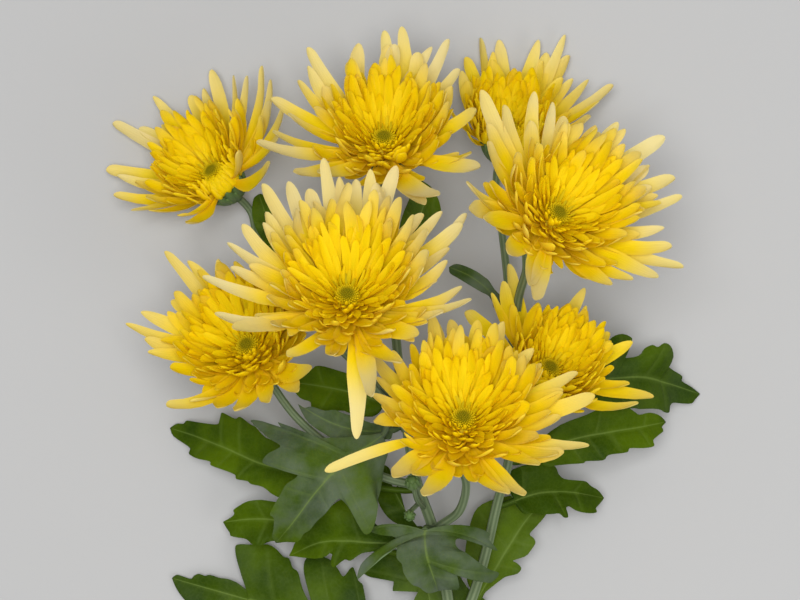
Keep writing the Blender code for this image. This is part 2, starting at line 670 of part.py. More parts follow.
def leaf_solid(rows, up, is_blade):
    """Corners and faces of a leaf: the same triangles on both faces, and a wall round the edge."""
    thickness = np.where(is_blade, LEAF_THICKNESS, 2 * LEAF_THICKNESS)[:, None, None]
    top = rows + up[:, None, :] * thickness / 2
    bottom = rows - up[:, None, :] * thickness / 2
    bottom[..., 2] = np.maximum(bottom[..., 2], 0.0)
    top[..., 2] = np.maximum(top[..., 2], bottom[..., 2] + 0.75 * LEAF_THICKNESS)
    count = len(rows)
    verts = [tuple(p) for p in top.reshape(-1, 3)] + [tuple(p) for p in bottom.reshape(-1, 3)]
    under = 3 * count
    faces = []
    for a in range(0, under - 3, 3):
        b = a + 3
        for corners in ((a, a + 1, b), (a + 1, b + 1, b), (a + 1, a + 2, b + 1), (a + 2, b + 2, b + 1)):
            faces.append(corners)
            faces.append(tuple(under + v for v in reversed(corners)))
    last = under - 3
    rim = list(range(0, under, 3)) + [last + 1] + list(range(last + 2, 0, -3)) + [1]
    for v, w in zip(rim, rim[1:] + rim[:1]):
        faces.append((v, w, under + w))
        faces.append((v, under + w, under + v))
    return verts, faces


def snap_root(root, tip, stems):
    """Where a leaf's stalk meets the stem nearest to root, a hair off its surface, and its way out."""
    root, tip = np.array(root, dtype=float), np.array(tip, dtype=float)
    found = []
    for line, radius in stems:
        away = np.linalg.norm(line - root, axis=1)
        k = int(np.argmin(away))
        found.append((float(away[k]), k, line, radius))
    _, k, line, radius = min(found, key=lambda one: one[0])
    way = unit(line[min(k + 1, len(line) - 1)] - line[max(k - 1, 0)])
    out = tip - line[k]
    out = unit(out - (out @ way) * way)
    return line[k] + out * (radius[k] + SEAT), out


def face_samples(verts, faces, spacing):
    """Points about spacing apart on the faces of a solid."""
    verts = np.array(verts)
    points = [verts]
    for face in faces:
        a = verts[face[0]]
        for b, c in zip(face[1:-1], face[2:]):
            b, c = verts[b], verts[c]
            steps = math.ceil(max(np.linalg.norm(b - a), np.linalg.norm(c - a),
                                  np.linalg.norm(c - b)) / spacing)
            u, v = np.meshgrid(np.arange(steps + 1) / steps, np.arange(steps + 1) / steps)
            inside = u + v <= 1.0
            u, v = u[inside][:, None], v[inside][:, None]
            points.append(a + u * (b - a) + v * (c - a))
    return np.vstack(points)


def place_leaves(stems, stem_points):
    """The solid and the sample points of each leaf, raised or lowered until it crosses nothing."""
    taken = [stem_points]
    leaves = {}
    for name, (root, tip, _, _, _, _, cut, _) in LEAVES.items():
        start, out = snap_root(root, tip, stems)
        tree = tree_of(taken)
        for raised in LEAF_RAISES:
            if tip[2] < 0 < abs(raised):
                continue
            solid = leaf_solid(*leaf_rows(name, start, out, raised, leaf_edge(cut), 2))
            points = face_samples(*solid, SAMPLE_SPACING)
            away = points[np.linalg.norm(points - start, axis=1) > ROOT_ZONE]
            if is_clear(tree, away, LEAF_CLEARANCE):
                break
        leaves[name] = solid
        taken.append(points)
    return leaves, np.vstack(taken)


def build():
    """Makes every node of the spray."""
    clear_scene()
    petal_stuff = material("petal_yellow", PETAL_YELLOW, 0.55)
    disc_stuff = material("disc_green", DISC_GREEN, 0.7)
    leaf_stuff = material("leaf_green", LEAF_GREEN, 0.45)
    stem_stuff = material("stem_green", STEM_GREEN, 0.5)

    blooms = {name: Bloom(name) for name in BLOOMS}
    make_stem(blooms, stem_stuff)
    lines = {name: stem_line(name, blooms, SAMPLE_SPACING) for name in STEMS}
    tubes = {name: tube(line, radius, STEM_SIDES)[0] for name, (line, radius) in lines.items()}
    cups = {name: bloom.centre - bloom.axis * (CORE_DEPTH + 0.4 * CUP_DEPTH)
            + CUP_RADIUS * ball() for name, bloom in blooms.items()}
    stem_points = np.vstack([np.array(points) for points in tubes.values()] + list(cups.values()))

    leaves, taken = place_leaves(list(lines.values()), stem_points)
    for name, solid in leaves.items():
        new_object(name, *solid, leaf_stuff)

    for name in FRONT_TO_BACK:
        bloom = blooms[name]
        own = np.linalg.norm(taken - bloom.centre, axis=1) < OWN_ZONE
        petals = place_petals(bloom, tree_of([taken[~own]]))
        make_bloom(bloom, petals, petal_stuff, disc_stuff)
        core = bloom.centre - bloom.axis * 2 + RINGS[2][0] * ball()
        taken = np.vstack([taken, core] + [petal.samples() for petal in petals.values()])
        print(name, "petals:", len(petals))


def ball():
    """Points spread over a unit ball's surface."""
    k = np.arange(60)
    height = 1 - 2 * (k + 0.5) / 60
    turn = np.radians(k * GOLDEN_ANGLE)
    flat = np.sqrt(1 - height ** 2)
    return np.stack([flat * np.cos(turn), flat * np.sin(turn), height], axis=1)


build()
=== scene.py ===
# %% [markdown]
# # A cut spray of spider chrysanthemum
#
# One stem carries eight open yellow blooms, lobed leaves and two buds, and lies on a pale surface.
# The camera looks straight down on it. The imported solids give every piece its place; this script
# makes the fine surfaces that stand for them: 210 petals in each bloom, the green florets in its
# middle, ribbed stems, scaly cups behind the blooms and veined leaves.
#
# Lengths below are millimetres on the plan that the solids were drawn on. `add_piece` shifts them to
# the frame and turns them into Blender's metres.

import math

import bpy
import numpy as np
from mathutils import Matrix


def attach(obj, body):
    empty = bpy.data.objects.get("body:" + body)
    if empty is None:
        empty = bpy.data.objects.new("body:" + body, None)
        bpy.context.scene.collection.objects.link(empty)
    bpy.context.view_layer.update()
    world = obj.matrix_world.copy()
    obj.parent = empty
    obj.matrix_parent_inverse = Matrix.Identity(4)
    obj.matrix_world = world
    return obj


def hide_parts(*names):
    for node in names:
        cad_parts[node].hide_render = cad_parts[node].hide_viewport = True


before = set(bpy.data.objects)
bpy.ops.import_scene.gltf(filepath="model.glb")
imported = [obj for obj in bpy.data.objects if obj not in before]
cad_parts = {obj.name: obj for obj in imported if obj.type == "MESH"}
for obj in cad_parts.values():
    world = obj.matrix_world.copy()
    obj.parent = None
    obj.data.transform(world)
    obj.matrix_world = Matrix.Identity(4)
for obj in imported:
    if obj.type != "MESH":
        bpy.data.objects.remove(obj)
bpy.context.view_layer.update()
print("solids loaded:", len(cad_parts))

# %% [markdown]
# ## Small helpers
#
# Every surface in this file is an array of points worked out in one go. `add_piece` is the only place
# where such an array becomes a Blender mesh. It also stores a UV map, so that a pattern can follow
# the length of a petal or a leaf, and single values at the points, such as how pale a petal is there.

# %% Units and two small functions
MM = 0.001
SHARP_RIM = 75               # degrees between two faces from which the edge between them is a rim
MIDDLE = np.array([1.4, -65.4, 0.0])    # the plan's point that lies on the frame's origin


def unit(vectors):
    """The vectors, each divided by its own length."""
    return vectors / np.linalg.norm(vectors, axis=-1, keepdims=True)


def smooth(values):
    """0 below 0, 1 above 1, and an S-curve of 3x^2 - 2x^3 between."""
    x = np.clip(values, 0.0, 1.0)
    return x * x * (3.0 - 2.0 * x)


# %% Faces of closed tubes
def tube_faces(rows, around):
    """Faces of a tube of rows rings, closed by one point before its first ring and one after its last.

    Point 0 closes the start. Ring r, corner c is point 1 + r * around + c. The last point closes the end.
    """
    ring = 1 + np.arange(rows - 1)[:, None] * around
    corner = np.arange(around)
    after = (corner + 1) % around
    quads = np.stack([ring + corner, ring + after, ring + around + after, ring + around + corner],
                     axis=-1).reshape(-1, 4)
    last = 1 + (rows - 1) * around
    start = np.stack([1 + after, 1 + corner, np.zeros(around, int)], axis=-1)
    end = np.stack([last + corner, last + after, np.full(around, last + around)], axis=-1)
    return quads, np.concatenate([start, end])


def tubes(points, rows, around, uv, values):
    """A shape of equal closed tubes, whose points (tubes, points, 3) holds.

    A shape is five things: points, faces of four, faces of three, and UV and named values at points.
    """
    count, size = points.shape[:2]
    start = (np.arange(count) * size)[:, None, None]
    quads, tris = ((faces + start).reshape(-1, faces.shape[-1]) for faces in tube_faces(rows, around))
    return points.reshape(-1, 3), quads, tris, uv, values


def join_shapes(shapes):
    """One shape out of several."""
    starts = np.cumsum([0] + [len(shape[0]) for shape in shapes[:-1]])
    points = np.concatenate([shape[0] for shape in shapes])
    quads, tris = (np.concatenate([shape[k] + start for shape, start in zip(shapes, starts)])
                   for k in (1, 2))
    uv = None
    if shapes[0][3] is not None:
        uv = np.concatenate([shape[3].reshape(-1, 2) for shape in shapes])
    values = {key: np.concatenate([shape[4][key].ravel() for shape in shapes]) for key in shapes[0][4]}
    return points, quads, tris, uv, values


# %% From a shape to a piece
def put_in_scene(name, data):
    """An object that shows a mesh, a lamp or a camera."""
    thing = bpy.data.objects.new(name, data)
    bpy.context.scene.collection.objects.link(thing)
    return thing


def add_piece(name, shape, stuff):
    """A smooth mesh object made from a shape on the plan."""
    points, quads, tris, uv, values = shape
    mesh = bpy.data.meshes.new(name)
    placed = (points - MIDDLE) * MM
    mesh.from_pydata(placed.tolist(), [], [*quads.tolist(), *tris.tolist()])
    mesh.shade_smooth()
    mesh.set_sharp_from_angle(angle=math.radians(SHARP_RIM))
    mesh.materials.append(stuff)
    if uv is not None:
        corner = np.empty(len(mesh.loops), np.int32)
        mesh.loops.foreach_get("vertex_index", corner)
        layer = mesh.uv_layers.new(name="grain")
        layer.data.foreach_set("uv", uv.reshape(-1, 2)[corner].astype(np.float32).ravel())
    for key, numbers in values.items():
        field = mesh.attributes.new(key, "FLOAT", "POINT")
        field.data.foreach_set("value", numbers.astype(np.float32).ravel())
    thing = put_in_scene(name, mesh)
    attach(thing, "root")
    return thing


# %% [markdown]
# ## The camera
#
# A cut spray lies down, so the camera hangs above it and looks straight down. A long lens far away
# keeps the blooms near the lens from growing too large.

# %% Camera
PICTURE = (800, 600)         # pixels
CAMERA_HEIGHT = 1060.0       # over the surface
PLAN_HEIGHT = 60.0           # of the level on which the plan was measured
SEEN_WIDTH = 280.0           # of that level across the picture
SENSOR = 36.0

lens = bpy.data.cameras.new("camera")
lens.sensor_width = SENSOR
lens.lens = SENSOR * (CAMERA_HEIGHT - PLAN_HEIGHT) / SEEN_WIDTH
camera = put_in_scene("camera", lens)
camera.location = (np.array([0.0, 0.0, CAMERA_HEIGHT]) - MIDDLE) * MM
bpy.context.scene.camera = camera
print("lens:", round(lens.lens, 1), "mm")

# %% [markdown]
# ## Finishes as trees of nodes
#
# A finish is a small tree of nodes that ends in a shader. It could be drawn by hand in the Shader
# Editor. Here a few short functions make and link the nodes that every finish below needs: a plain
# Principled shader to start from, cloudy noise, and a relief that turns the light without any faces.

# %% Nodes of a material
def plain_material(name, colour, roughness):
    """A Principled material with one node for its colour, to be built on."""
    made = bpy.data.materials.new(name)
    made.use_nodes = True
    shader = made.node_tree.nodes["Principled BSDF"]
    shader.inputs["Base Color"].default_value = (*colour, 1.0)
    shader.inputs["Roughness"].default_value = roughness
    return made, made.node_tree, shader


def add_node(tree, kind, sockets=None, **settings):
    """A node with its settings, and each named socket set to a value or linked to another's output."""
    made = tree.nodes.new(kind)
    for key, value in settings.items():
        setattr(made, key, value)
    for key, value in (sockets or {}).items():
        if isinstance(value, bpy.types.NodeSocket):
            tree.links.new(value, made.inputs[key])
        else:
            made.inputs[key].default_value = value
    return made


def place_of(tree):
    """The place in the piece's own coordinates, in metres."""
    return add_node(tree, "ShaderNodeTexCoord").outputs["Object"]


def noise(tree, scale, detail=2.0, place=None):
    """Cloudy noise from 0 to 1: scale clouds to a unit of place, with detail finer layers in them."""
    sockets = {"Vector": place or place_of(tree), "Scale": scale, "Detail": detail}
    return add_node(tree, "ShaderNodeTexNoise", sockets).outputs[0]


def relief(tree, height, strength, depth, **below):
    """The way that the surface faces once a height of some depth in metres is pressed into it."""
    sockets = {"Height": height, "Strength": strength, "Distance": depth, **below}
    return add_node(tree, "ShaderNodeBump", sockets).outputs[0]


# %% [markdown]
# ## The floor and the light
#
# The floor is one large sheet of light grey paper, a hair under the surface that the spray rests on.
# Part of the light comes from an even sky, as in a white tent, and part from one wide lamp close to
# the camera's own line, so that the shadows hide behind the flowers and the gaps between petals stay
# bright. A weak lamp low on the right lets the channels of the petals show.

# %% Floor, lamps and sky
FLOOR_GREY = 0.390
FLOOR_HALF = 3.0             # metres from the middle to a side
FLOOR_DROP = 0.0003          # metres under the surface that the spray rests on
SKY = 0.44
MAIN_LAMP = ((-60.0, 110.0, 1500.0), 650.0, 21.3)       # place, width in millimetres, watts
SIDE_LAMP = ((520.0, -380.0, 620.0), 420.0, 1.5)


def paper():
    """Light grey matt paper with a grain too fine to see from the camera."""
    made, tree, shader = plain_material("pale_paper", (FLOOR_GREY,) * 3, 0.9)
    tree.links.new(relief(tree, noise(tree, 900.0), 0.05, 0.0001), shader.inputs["Normal"])
    return made


def hang_lamp(name, place, width, watts):
    """A square lamp that faces the middle of the spray."""
    lamp = bpy.data.lights.new(name, "AREA")
    lamp.size = width * MM
    lamp.energy = watts
    thing = put_in_scene(name, lamp)
    thing.location = np.array(place) * MM
    thing.rotation_mode = "QUATERNION"
    thing.rotation_quaternion = (-thing.location).to_track_quat("-Z", "Y")


floor_mesh = bpy.data.meshes.new("floor")
floor_mesh.from_pydata([(x * FLOOR_HALF, y * FLOOR_HALF, -FLOOR_DROP)
                        for x, y in ((-1, -1), (1, -1), (1, 1), (-1, 1))], [], [(0, 1, 2, 3)])
floor_mesh.materials.append(paper())
floor = put_in_scene("floor", floor_mesh)
hang_lamp("main_lamp", *MAIN_LAMP)
hang_lamp("side_lamp", *SIDE_LAMP)
sky = bpy.data.worlds.new("sky")
sky.use_nodes = True
sky.node_tree.nodes["Background"].inputs["Color"].default_value = (SKY, SKY, SKY, 1.0)
bpy.context.scene.world = sky
bpy.context.scene.view_settings.view_transform = "Standard"
print("light:", MAIN_LAMP[2], "and", SIDE_LAMP[2], "watts under a sky of", SKY)

# %% [markdown]
# ## Where the blooms stand
#
# Each bloom has a middle, an axis that leans out of the upright, and a few petals whose tips make its
# outline. For those the table holds what the eye sees from above: the heading of the tip, in degrees
# from the right through the top of the picture, and how far it reaches. All other petals follow from
# a rule further down.

# %% Table of the blooms
# Middle of the disc, lean of the axis, heading of that lean, and the outline: heading and reach, and
# for a petal that is thinner than the others its share of their width
BLOOMS = {
    "bloom_1": ((-67.5, 46.0, 23.0), 50, 133,
                ((6, 22), (25, 27), (41, 35), (57, 40), (66, 43), (79, 37), (92, 39), (109, 31),
                 (129, 35), (137, 28), (155, 41), (176, 41), (192, 38), (205, 33), (247, 21),
                 (207, 8, 0.85), (34, 12, 0.8), (234, 20, 0.85))),
    "bloom_2": ((-5.6, 55.9, 62.0), 40, 90,
                ((18, 34), (44, 37), (57, 43), (70, 34), (82, 42), (91, 40), (104, 36), (115, 31),
                 (129, 43), (145, 37), (160, 42), (183, 44), (203, 34), (307, 33), (342, 35))),
    "bloom_3": ((38.6, 62.0, 22.8), 50, 80,
                ((9, 31), (23, 43), (31, 36), (49, 37), (56, 40), (69, 34), (93, 34), (105, 36),
                 (119, 31), (129, 23))),
    "bloom_4": ((53.3, 28.9, 90.0), 37, 50,
                ((9, 44), (17, 43), (27, 36), (35, 47), (56, 39), (92, 39), (100, 43), (123, 50),
                 (128, 39), (163, 33), (178, 31), (216, 22), (252, 30), (306, 30), (326, 40),
                 (337, 46), (353, 37))),
    "bloom_5": ((-17.7, 1.0, 104.0), 35, 88,
                ((4, 39), (31, 46), (35, 49), (47, 38), (69, 48), (79, 44), (86, 40), (100, 49),
                 (110, 39), (117, 44), (127, 48), (146, 43), (156, 44), (172, 48), (189, 44),
                 (275, 47, 0.9), (284, 34, 0.9), (310, 28), (333, 27), (357, 42))),
    "bloom_6": ((-53.1, -16.4, 62.0), 35, 118,
                ((109, 33), (132, 45), (149, 32), (163, 40), (170, 44), (183, 35), (195, 28),
                 (217, 34), (246, 23), (262, 22), (296, 20), (321, 24), (343, 25))),
    "bloom_7": ((21.2, -40.4, 98.0), 35, 85,
                ((10, 45), (22, 42), (45, 34), (67, 36), (80, 34), (97, 34), (105, 35), (145, 39),
                 (164, 32), (181, 30), (200, 50, 0.6), (218, 30), (240, 28), (309, 31), (330, 29),
                 (341, 33), (349, 42))),
    "bloom_8": ((52.2, -24.6, 55.0), 45, 60,
                ((17, 32), (30, 26), (47, 22), (64, 32), (98, 24), (111, 40), (127, 34), (145, 36),
                 (345, 38), (350, 29))),
}

# %% Directions in a bloom
def stand_of(name):
    """The middle of a bloom, and three rows of unit vectors: two across it, and its axis."""
    centre, lean, heading, _ = BLOOMS[name]
    lean, heading = math.radians(lean), math.radians(heading)
    axis = np.array([math.sin(lean) * math.cos(heading), math.sin(lean) * math.sin(heading),
                     math.cos(lean)])
    across = np.array([-math.sin(heading), math.cos(heading), 0.0])
    return np.array(centre), np.array([across, np.cross(axis, across), axis])


def towards(axes, turn, angle):
    """Unit vectors at angle from the bloom's axis, at turn round it. Both may be arrays."""
    turn, angle = np.broadcast_arrays(turn, angle)
    parts = [np.sin(angle) * np.cos(turn), np.sin(angle) * np.sin(turn), np.cos(angle)]
    return np.stack(parts, axis=-1) @ axes


print("blooms:", len(BLOOMS), "petals named by their tips:", sum(len(row[3]) for row in BLOOMS.values()))

# %% [markdown]
# ## One shape for every petal and bract
#
# A ray petal of this flower is a gutter: narrow and almost rolled at the root, wider and flatter
# further out, and blunt at the tip. It could be a plane with a Solidify modifier, but then more than
# a thousand modifiers would run. Here one function takes whole arrays of middle lines, half widths
# and rolls, and gives the closed thin shells of all petals at once.

# %% Gutter-shaped shells
def face_shares(count):
    """Round a thin section: shares from 1 to -1 over its upper face and back, and 1 on the way back."""
    share = np.concatenate([np.linspace(1, -1, count), np.linspace(-1, 1, count)[1:-1]])
    return share, np.concatenate([np.zeros(count), np.ones(count - 2)])


def gutter_shells(line, side, half, roll, depth, upper):
    """Closed shells along middle lines.

    line holds (shells, rings + 1, 3) points, the last of which is the tip, and side the directions
    across, for each ring. Each cross-section is an arc: at share s between -1 and 1 of its half
    width h, with roll r, it is at h/r sin(rs) to the side and h/r (1 - cos(rs)) up. The outer face is
    the same arc, depth further out, thin at the edges. Gives the points, and for each the shares s
    and the 1 or 0 that marks the outer face.
    """
    along = unit(np.gradient(line, axis=-2))[:, :-1]
    side = unit(side - (side * along).sum(-1, keepdims=True) * along)
    up = np.cross(along, side)
    share, under = face_shares(upper)
    bend = roll[..., None] * share
    radius = (half / roll)[..., None]
    wall = under * depth[..., None] * (1.0 - 0.5 * share ** 2)
    out = radius * np.sin(bend) + wall * np.sin(bend)
    rise = radius * (1.0 - np.cos(bend)) - wall * np.cos(bend)
    rings = line[:, :-1, None] + side[:, :, None] * out[..., None] + up[:, :, None] * rise[..., None]
    points = np.concatenate([line[:, :1], rings.reshape(len(line), -1, 3), line[:, -1:]], axis=1)
    return points, share, under


def over_shells(values, grid):
    """Values spread over a grid of (shells, rings, corners), and at the ends their rings' means."""
    values = np.broadcast_to(values, grid)
    return np.concatenate([values[:, 0].mean(1)[:, None], values.reshape(grid[0], -1),
                           values[:, -1].mean(1)[:, None]], axis=1)


def bezier(start, middle, end, t):
    """Points of quadratic curves: (1-t)^2 start + 2t(1-t) middle + t^2 end, t along the last axis."""
    t = t[..., None]
    start, middle, end = start[..., None, :], middle[..., None, :], end[..., None, :]
    return (1 - t) ** 2 * start + 2 * t * (1 - t) * middle + t ** 2 * end


# %% [markdown]
# ## Stems
#
# A chrysanthemum stem is ribbed: six blunt ridges run its whole length. Each stem here is a smooth
# curve through a few chosen points, with a ribbed tube round it. The side stems start inside the stem
# that they grow from, so no joint needs to be cut.

# %% Table of the stems
# Points on the way, radius at the start and the end, and the bloom that the stem carries
STEMS = {
    "main": (((30, -228, 2.77), (27, -196, 2.77), (23, -160, 4.5), (19, -125, 10), (17, -106, 17),
              (12, -83, 26), (6, -65, 35), (2, -43, 41), (-1, -18, 41), (-3, 7, 39), (-5, 28, 38)),
             3.2, 1.6, "bloom_2"),
    "right": (((19, -125, 10), (26, -110, 14), (31, -93, 20), (35, -74, 28), (39, -58, 32),
               (41, -40, 31), (41, -18, 33), (42, 0, 46), (44, 10, 62)), 2.3, 1.5, "bloom_4"),
    "right_low": (((41, -22, 32), (39, 7, 23), (37, 28, 13)), 1.6, 1.4, "bloom_3"),
    "right_side": (((39, -58, 32), (43, -47, 33)), 1.6, 1.5, "bloom_8"),
    "left_high": (((1, -37, 41), (-20, -19, 33), (-38, 2, 22), (-51, 20, 13)), 1.7, 1.4, "bloom_1"),
    "left_low": (((7, -67, 34), (-7, -63, 36), (-23, -54, 36), (-37, -42, 38)), 1.7, 1.4, "bloom_6"),
    "middle": (((2, -46, 40), (-4, -38, 51), (-13, -25, 66)), 1.8, 1.5, "bloom_5"),
    "front": (((12, -83, 26), (15, -80, 40), (21, -74, 54), (23, -64, 67)), 1.8, 1.5, "bloom_7"),
    "bud_stalk": (((9, -75, 30), (6, -71, 44), (4.6, -65, 54)), 1.1, 0.9, None),
    "second_bud_stalk": (((8, -72, 32), (4, -75, 42), (3.5, -76, 48)), 1.0, 0.8, None),
}
NECK = (24.0, 11.0)          # under the disc, where a stem turns onto the bloom's axis, and ends
BUDS = {"bud_stalk": 2.6, "second_bud_stalk": 1.9}      # radius of the bud at the end of a stalk

# %% Curves of the stems
STRETCH = 12                 # points that smooth_line makes between two given ones


def smooth_line(points, stretch=STRETCH):
    """The Catmull-Rom curve through the points.

    Between b and c, with a before and d after them, it is half of
    2b + (c - a) t + (2a - 5b + 4c - d) t^2 + (3b - a - 3c + d) t^3.
    """
    p = np.array(points, float)
    p = np.vstack([2 * p[0] - p[1], p, 2 * p[-1] - p[-2]])
    a, b, c, d = (p[k:len(p) - 3 + k, None] for k in range(4))
    t = (np.arange(stretch) / stretch)[:, None]
    curve = 0.5 * (2 * b + (c - a) * t + (2 * a - 5 * b + 4 * c - d) * t ** 2
                   + (3 * b - a - 3 * c + d) * t ** 3)
    return np.vstack([curve.reshape(-1, p.shape[1]), p[-2]])


def walked(line):
    """Distance walked along a line, at each of its points."""
    return np.concatenate([[0], np.cumsum(np.linalg.norm(np.diff(line, axis=0), axis=1))])


def stem_line(name):
    """Middle line of a stem, and its radius, which thins with the root of the way gone."""
    points, first, last, carried = STEMS[name]
    if carried:
        centre, axes = stand_of(carried)
        points = np.vstack([points] + [centre - axes[2] * depth for depth in NECK])
    line = smooth_line(points)
    way = walked(line)
    return line, first + (last - first) * np.sqrt(way / way[-1])


stem_lines = {name: stem_line(name) for name in STEMS}
print("stems:", len(stem_lines), "longest:",
      round(max(float(walked(line)[-1]) for line, _ in stem_lines.values())), "mm")

# %% Ribbed tubes
RIBS = 6
RIB_HEIGHT = 0.07            # as a share of the radius


def ribbed_tube(line, radius, around, ribs=RIBS, rib_height=RIB_HEIGHT):
    """A closed tube whose radius is r (1 + h (cos(n turn) - 1)), for n ribs of height h.

    Its value rib is 1 on a rib and 0 between two. With no ribs it is the body of a cup or a bud,
    where the value scale is 1.
    """
    along = unit(np.gradient(line, axis=0))
    least = np.eye(3)[np.argmin(np.abs(unit(line[-1] - line[0])))]
    side = unit(np.cross(along, least))
    other = np.cross(along, side)
    turn = np.arange(around) * 2 * math.pi / around
    wave = np.cos(ribs * turn)
    round_way = np.cos(turn)[None, :, None] * side[:, None] + np.sin(turn)[None, :, None] * other[:, None]
    rings = line[:, None] + round_way * (radius[:, None] * (1 + rib_height * (wave - 1)))[..., None]
    points = np.concatenate([line[:1], rings.reshape(-1, 3), line[-1:]])
    rib = np.concatenate([[0.5], np.tile(0.5 + 0.5 * wave, len(line)), [0.5]]) * (ribs > 0)
    scale = np.full(len(points), float(ribs == 0))
    return tubes(points[None], len(line), around, None, {"rib": rib, "scale": scale})


# %% [markdown]
# ## Cups and buds
#
# Behind each bloom sits a green cup of overlapping scales, the bracts, in three rows. A bract is a
# short stiff petal, so `gutter_shells` makes it as well. Each closed bud is a little ball in the same
# scales.

# %% Rows of bracts
# Of each row the radius and height of root and tip, the half width and the number
BRACT_ROWS = ((3.2, -13.9, 7.2, -9.6, 1.5, 12), (5.0, -12.6, 8.4, -6.6, 1.8, 13),
              (6.3, -10.8, 9.0, -3.6, 1.9, 14))
BUD_ROWS = ((0.5, -0.95, 0.98, 0.1, 0.42, 7),        # in shares of the bud's radius
            (0.85, -0.5, 0.62, 0.95, 0.40, 8))
BRACT_DEPTH = 0.45
BRACT_RINGS = 6
BRACT_BOW = 0.16             # outwards in the middle, as a share of its length
BRACT_ROLL = 0.8


def bract_row(centre, axes, row, scale, chance):
    """One ring of bracts round an axis, bowed outwards between root and tip."""
    low_radius, low, high_radius, high, half, count = row
    turn = (np.arange(count) + chance.uniform(0, 1)) * 2 * math.pi / count
    outward = towards(axes, turn, math.pi / 2)
    root = centre + (outward * low_radius + axes[2] * low) * scale
    tip = centre + (outward * high_radius + axes[2] * high) * scale
    length = np.linalg.norm(tip - root, axis=1, keepdims=True)
    middle = (root + tip) / 2 + outward * BRACT_BOW * length
    t = np.broadcast_to(np.sin(np.linspace(0, math.pi / 2, BRACT_RINGS + 1)), (count, BRACT_RINGS + 1))
    line = bezier(root, middle, tip, t)
    t = t[:, :-1]
    width = half * scale * np.sqrt(np.maximum(1 - (1.35 * t - 0.35) ** 2, 0.02))
    side = np.broadcast_to(towards(axes, turn + math.pi / 2, math.pi / 2)[:, None], (*t.shape, 3))
    roll = np.full(t.shape, BRACT_ROLL)
    depth = np.full(t.shape, BRACT_DEPTH * min(scale, 1.0))
    points, share, _ = gutter_shells(line, side, width, roll, depth, 4)
    grid = (*t.shape, len(share))
    values = {"rib": over_shells(1 - np.abs(share), grid),
              "scale": 0.3 + 0.7 * over_shells(t[..., None], grid)}
    return tubes(points, BRACT_RINGS, len(share), None, values)


# %% Cups and buds
# Radius and height under the middle of the disc, down the cup
CUP_PROFILE = ((1.5, -16.0), (1.9, -14.6), (4.4, -12.8), (6.3, -10.2), (7.2, -7.4), (7.0, -5.4))
ASKEW = (0.3, 0.2, 0.9)      # a direction that no bud points in


def cup_shapes(name, chance):
    """The turned body of a cup and its three rows of bracts."""
    centre, axes = stand_of(name)
    radius, height = np.array(CUP_PROFILE).T
    body = ribbed_tube(centre + axes[2] * height[:, None], radius, 24, 0, 0.0)
    return [body] + [bract_row(centre, axes, row, 1.0, chance) for row in BRACT_ROWS]


def bud_shapes(name, chance):
    """A ball at the end of a stalk, in two rows of bracts."""
    line, _ = stem_lines[name]
    size, axis = BUDS[name], unit(line[-1] - line[-3])
    across = unit(np.cross(axis, ASKEW))
    axes = np.array([across, np.cross(axis, across), axis])
    centre = line[-1] + axis * 0.6 * size
    angle = np.linspace(0.12, math.pi - 0.12, 9)
    ball = ribbed_tube(centre - axis * size * np.cos(angle)[:, None], size * 0.93 * np.sin(angle), 16,
                       0, 0.0)
    return [ball] + [bract_row(centre, axes, row, size, chance) for row in BUD_ROWS]


# %% [markdown]
# The stem's skin is a dull grey-green, paler on the ribs and a little patchy. The scales of the cups
# and buds are a fuller green, and more so towards their tips.

# %% Stem material
STEM_GREEN = (0.086, 0.124, 0.056, 1.0)
STEM_PALE = (0.180, 0.225, 0.122, 1.0)
BRACT_GREEN = (0.075, 0.130, 0.034, 1.0)


def mix_colours(tree, share, first, second):
    """The colour that goes from first to second as share goes from 0 to 1."""
    mixed = add_node(tree, "ShaderNodeMix", {0: share, 6: first, 7: second}, data_type="RGBA")
    return mixed.outputs[2]


def value_of(tree, name, share=1.0):
    """A value stored at the points, times a share."""
    stored = add_node(tree, "ShaderNodeAttribute", attribute_name=name).outputs["Fac"]
    return stored if share == 1.0 else times(tree, stored, share)


def times(tree, first, second):
    """The product of two values or outputs."""
    return add_node(tree, "ShaderNodeMath", {0: first, 1: second}, operation="MULTIPLY").outputs[0]


def dress(tree, shader, colour, facing, gloss):
    """Give the shader its colour and its relief, and set how much of the light it mirrors."""
    tree.links.new(colour, shader.inputs["Base Color"])
    tree.links.new(facing, shader.inputs["Normal"])
    shader.inputs["Specular IOR Level"].default_value = gloss


def stem_skin():
    """Dull ribbed skin, patchy at two sizes."""
    made, tree, shader = plain_material("stem_skin", STEM_GREEN[:3], 0.55)
    ribbed = mix_colours(tree, value_of(tree, "rib"), STEM_GREEN, STEM_PALE)
    mottled = mix_colours(tree, times(tree, noise(tree, 160.0, 4.0), 0.5), ribbed, STEM_GREEN)
    final = mix_colours(tree, value_of(tree, "scale"), mottled, BRACT_GREEN)
    dress(tree, shader, final, relief(tree, noise(tree, 1500.0), 0.3, 0.0002), 0.2)
    return made


# %% The stem piece
chance = np.random.default_rng(20)
parts = [ribbed_tube(line, radius, 36) for line, radius in stem_lines.values()]
for name in BLOOMS:
    parts += cup_shapes(name, chance)
for name in BUDS:
    parts += bud_shapes(name, chance)
shape = join_shapes(parts)
shape[0][:, 2] = np.maximum(shape[0][:, 2], 0.0)      # the cut end rests on the surface
stems = add_piece("stems", shape, stem_skin())
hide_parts("stem")
print("faces in the stems, cups and buds:", len(stems.data.polygons))

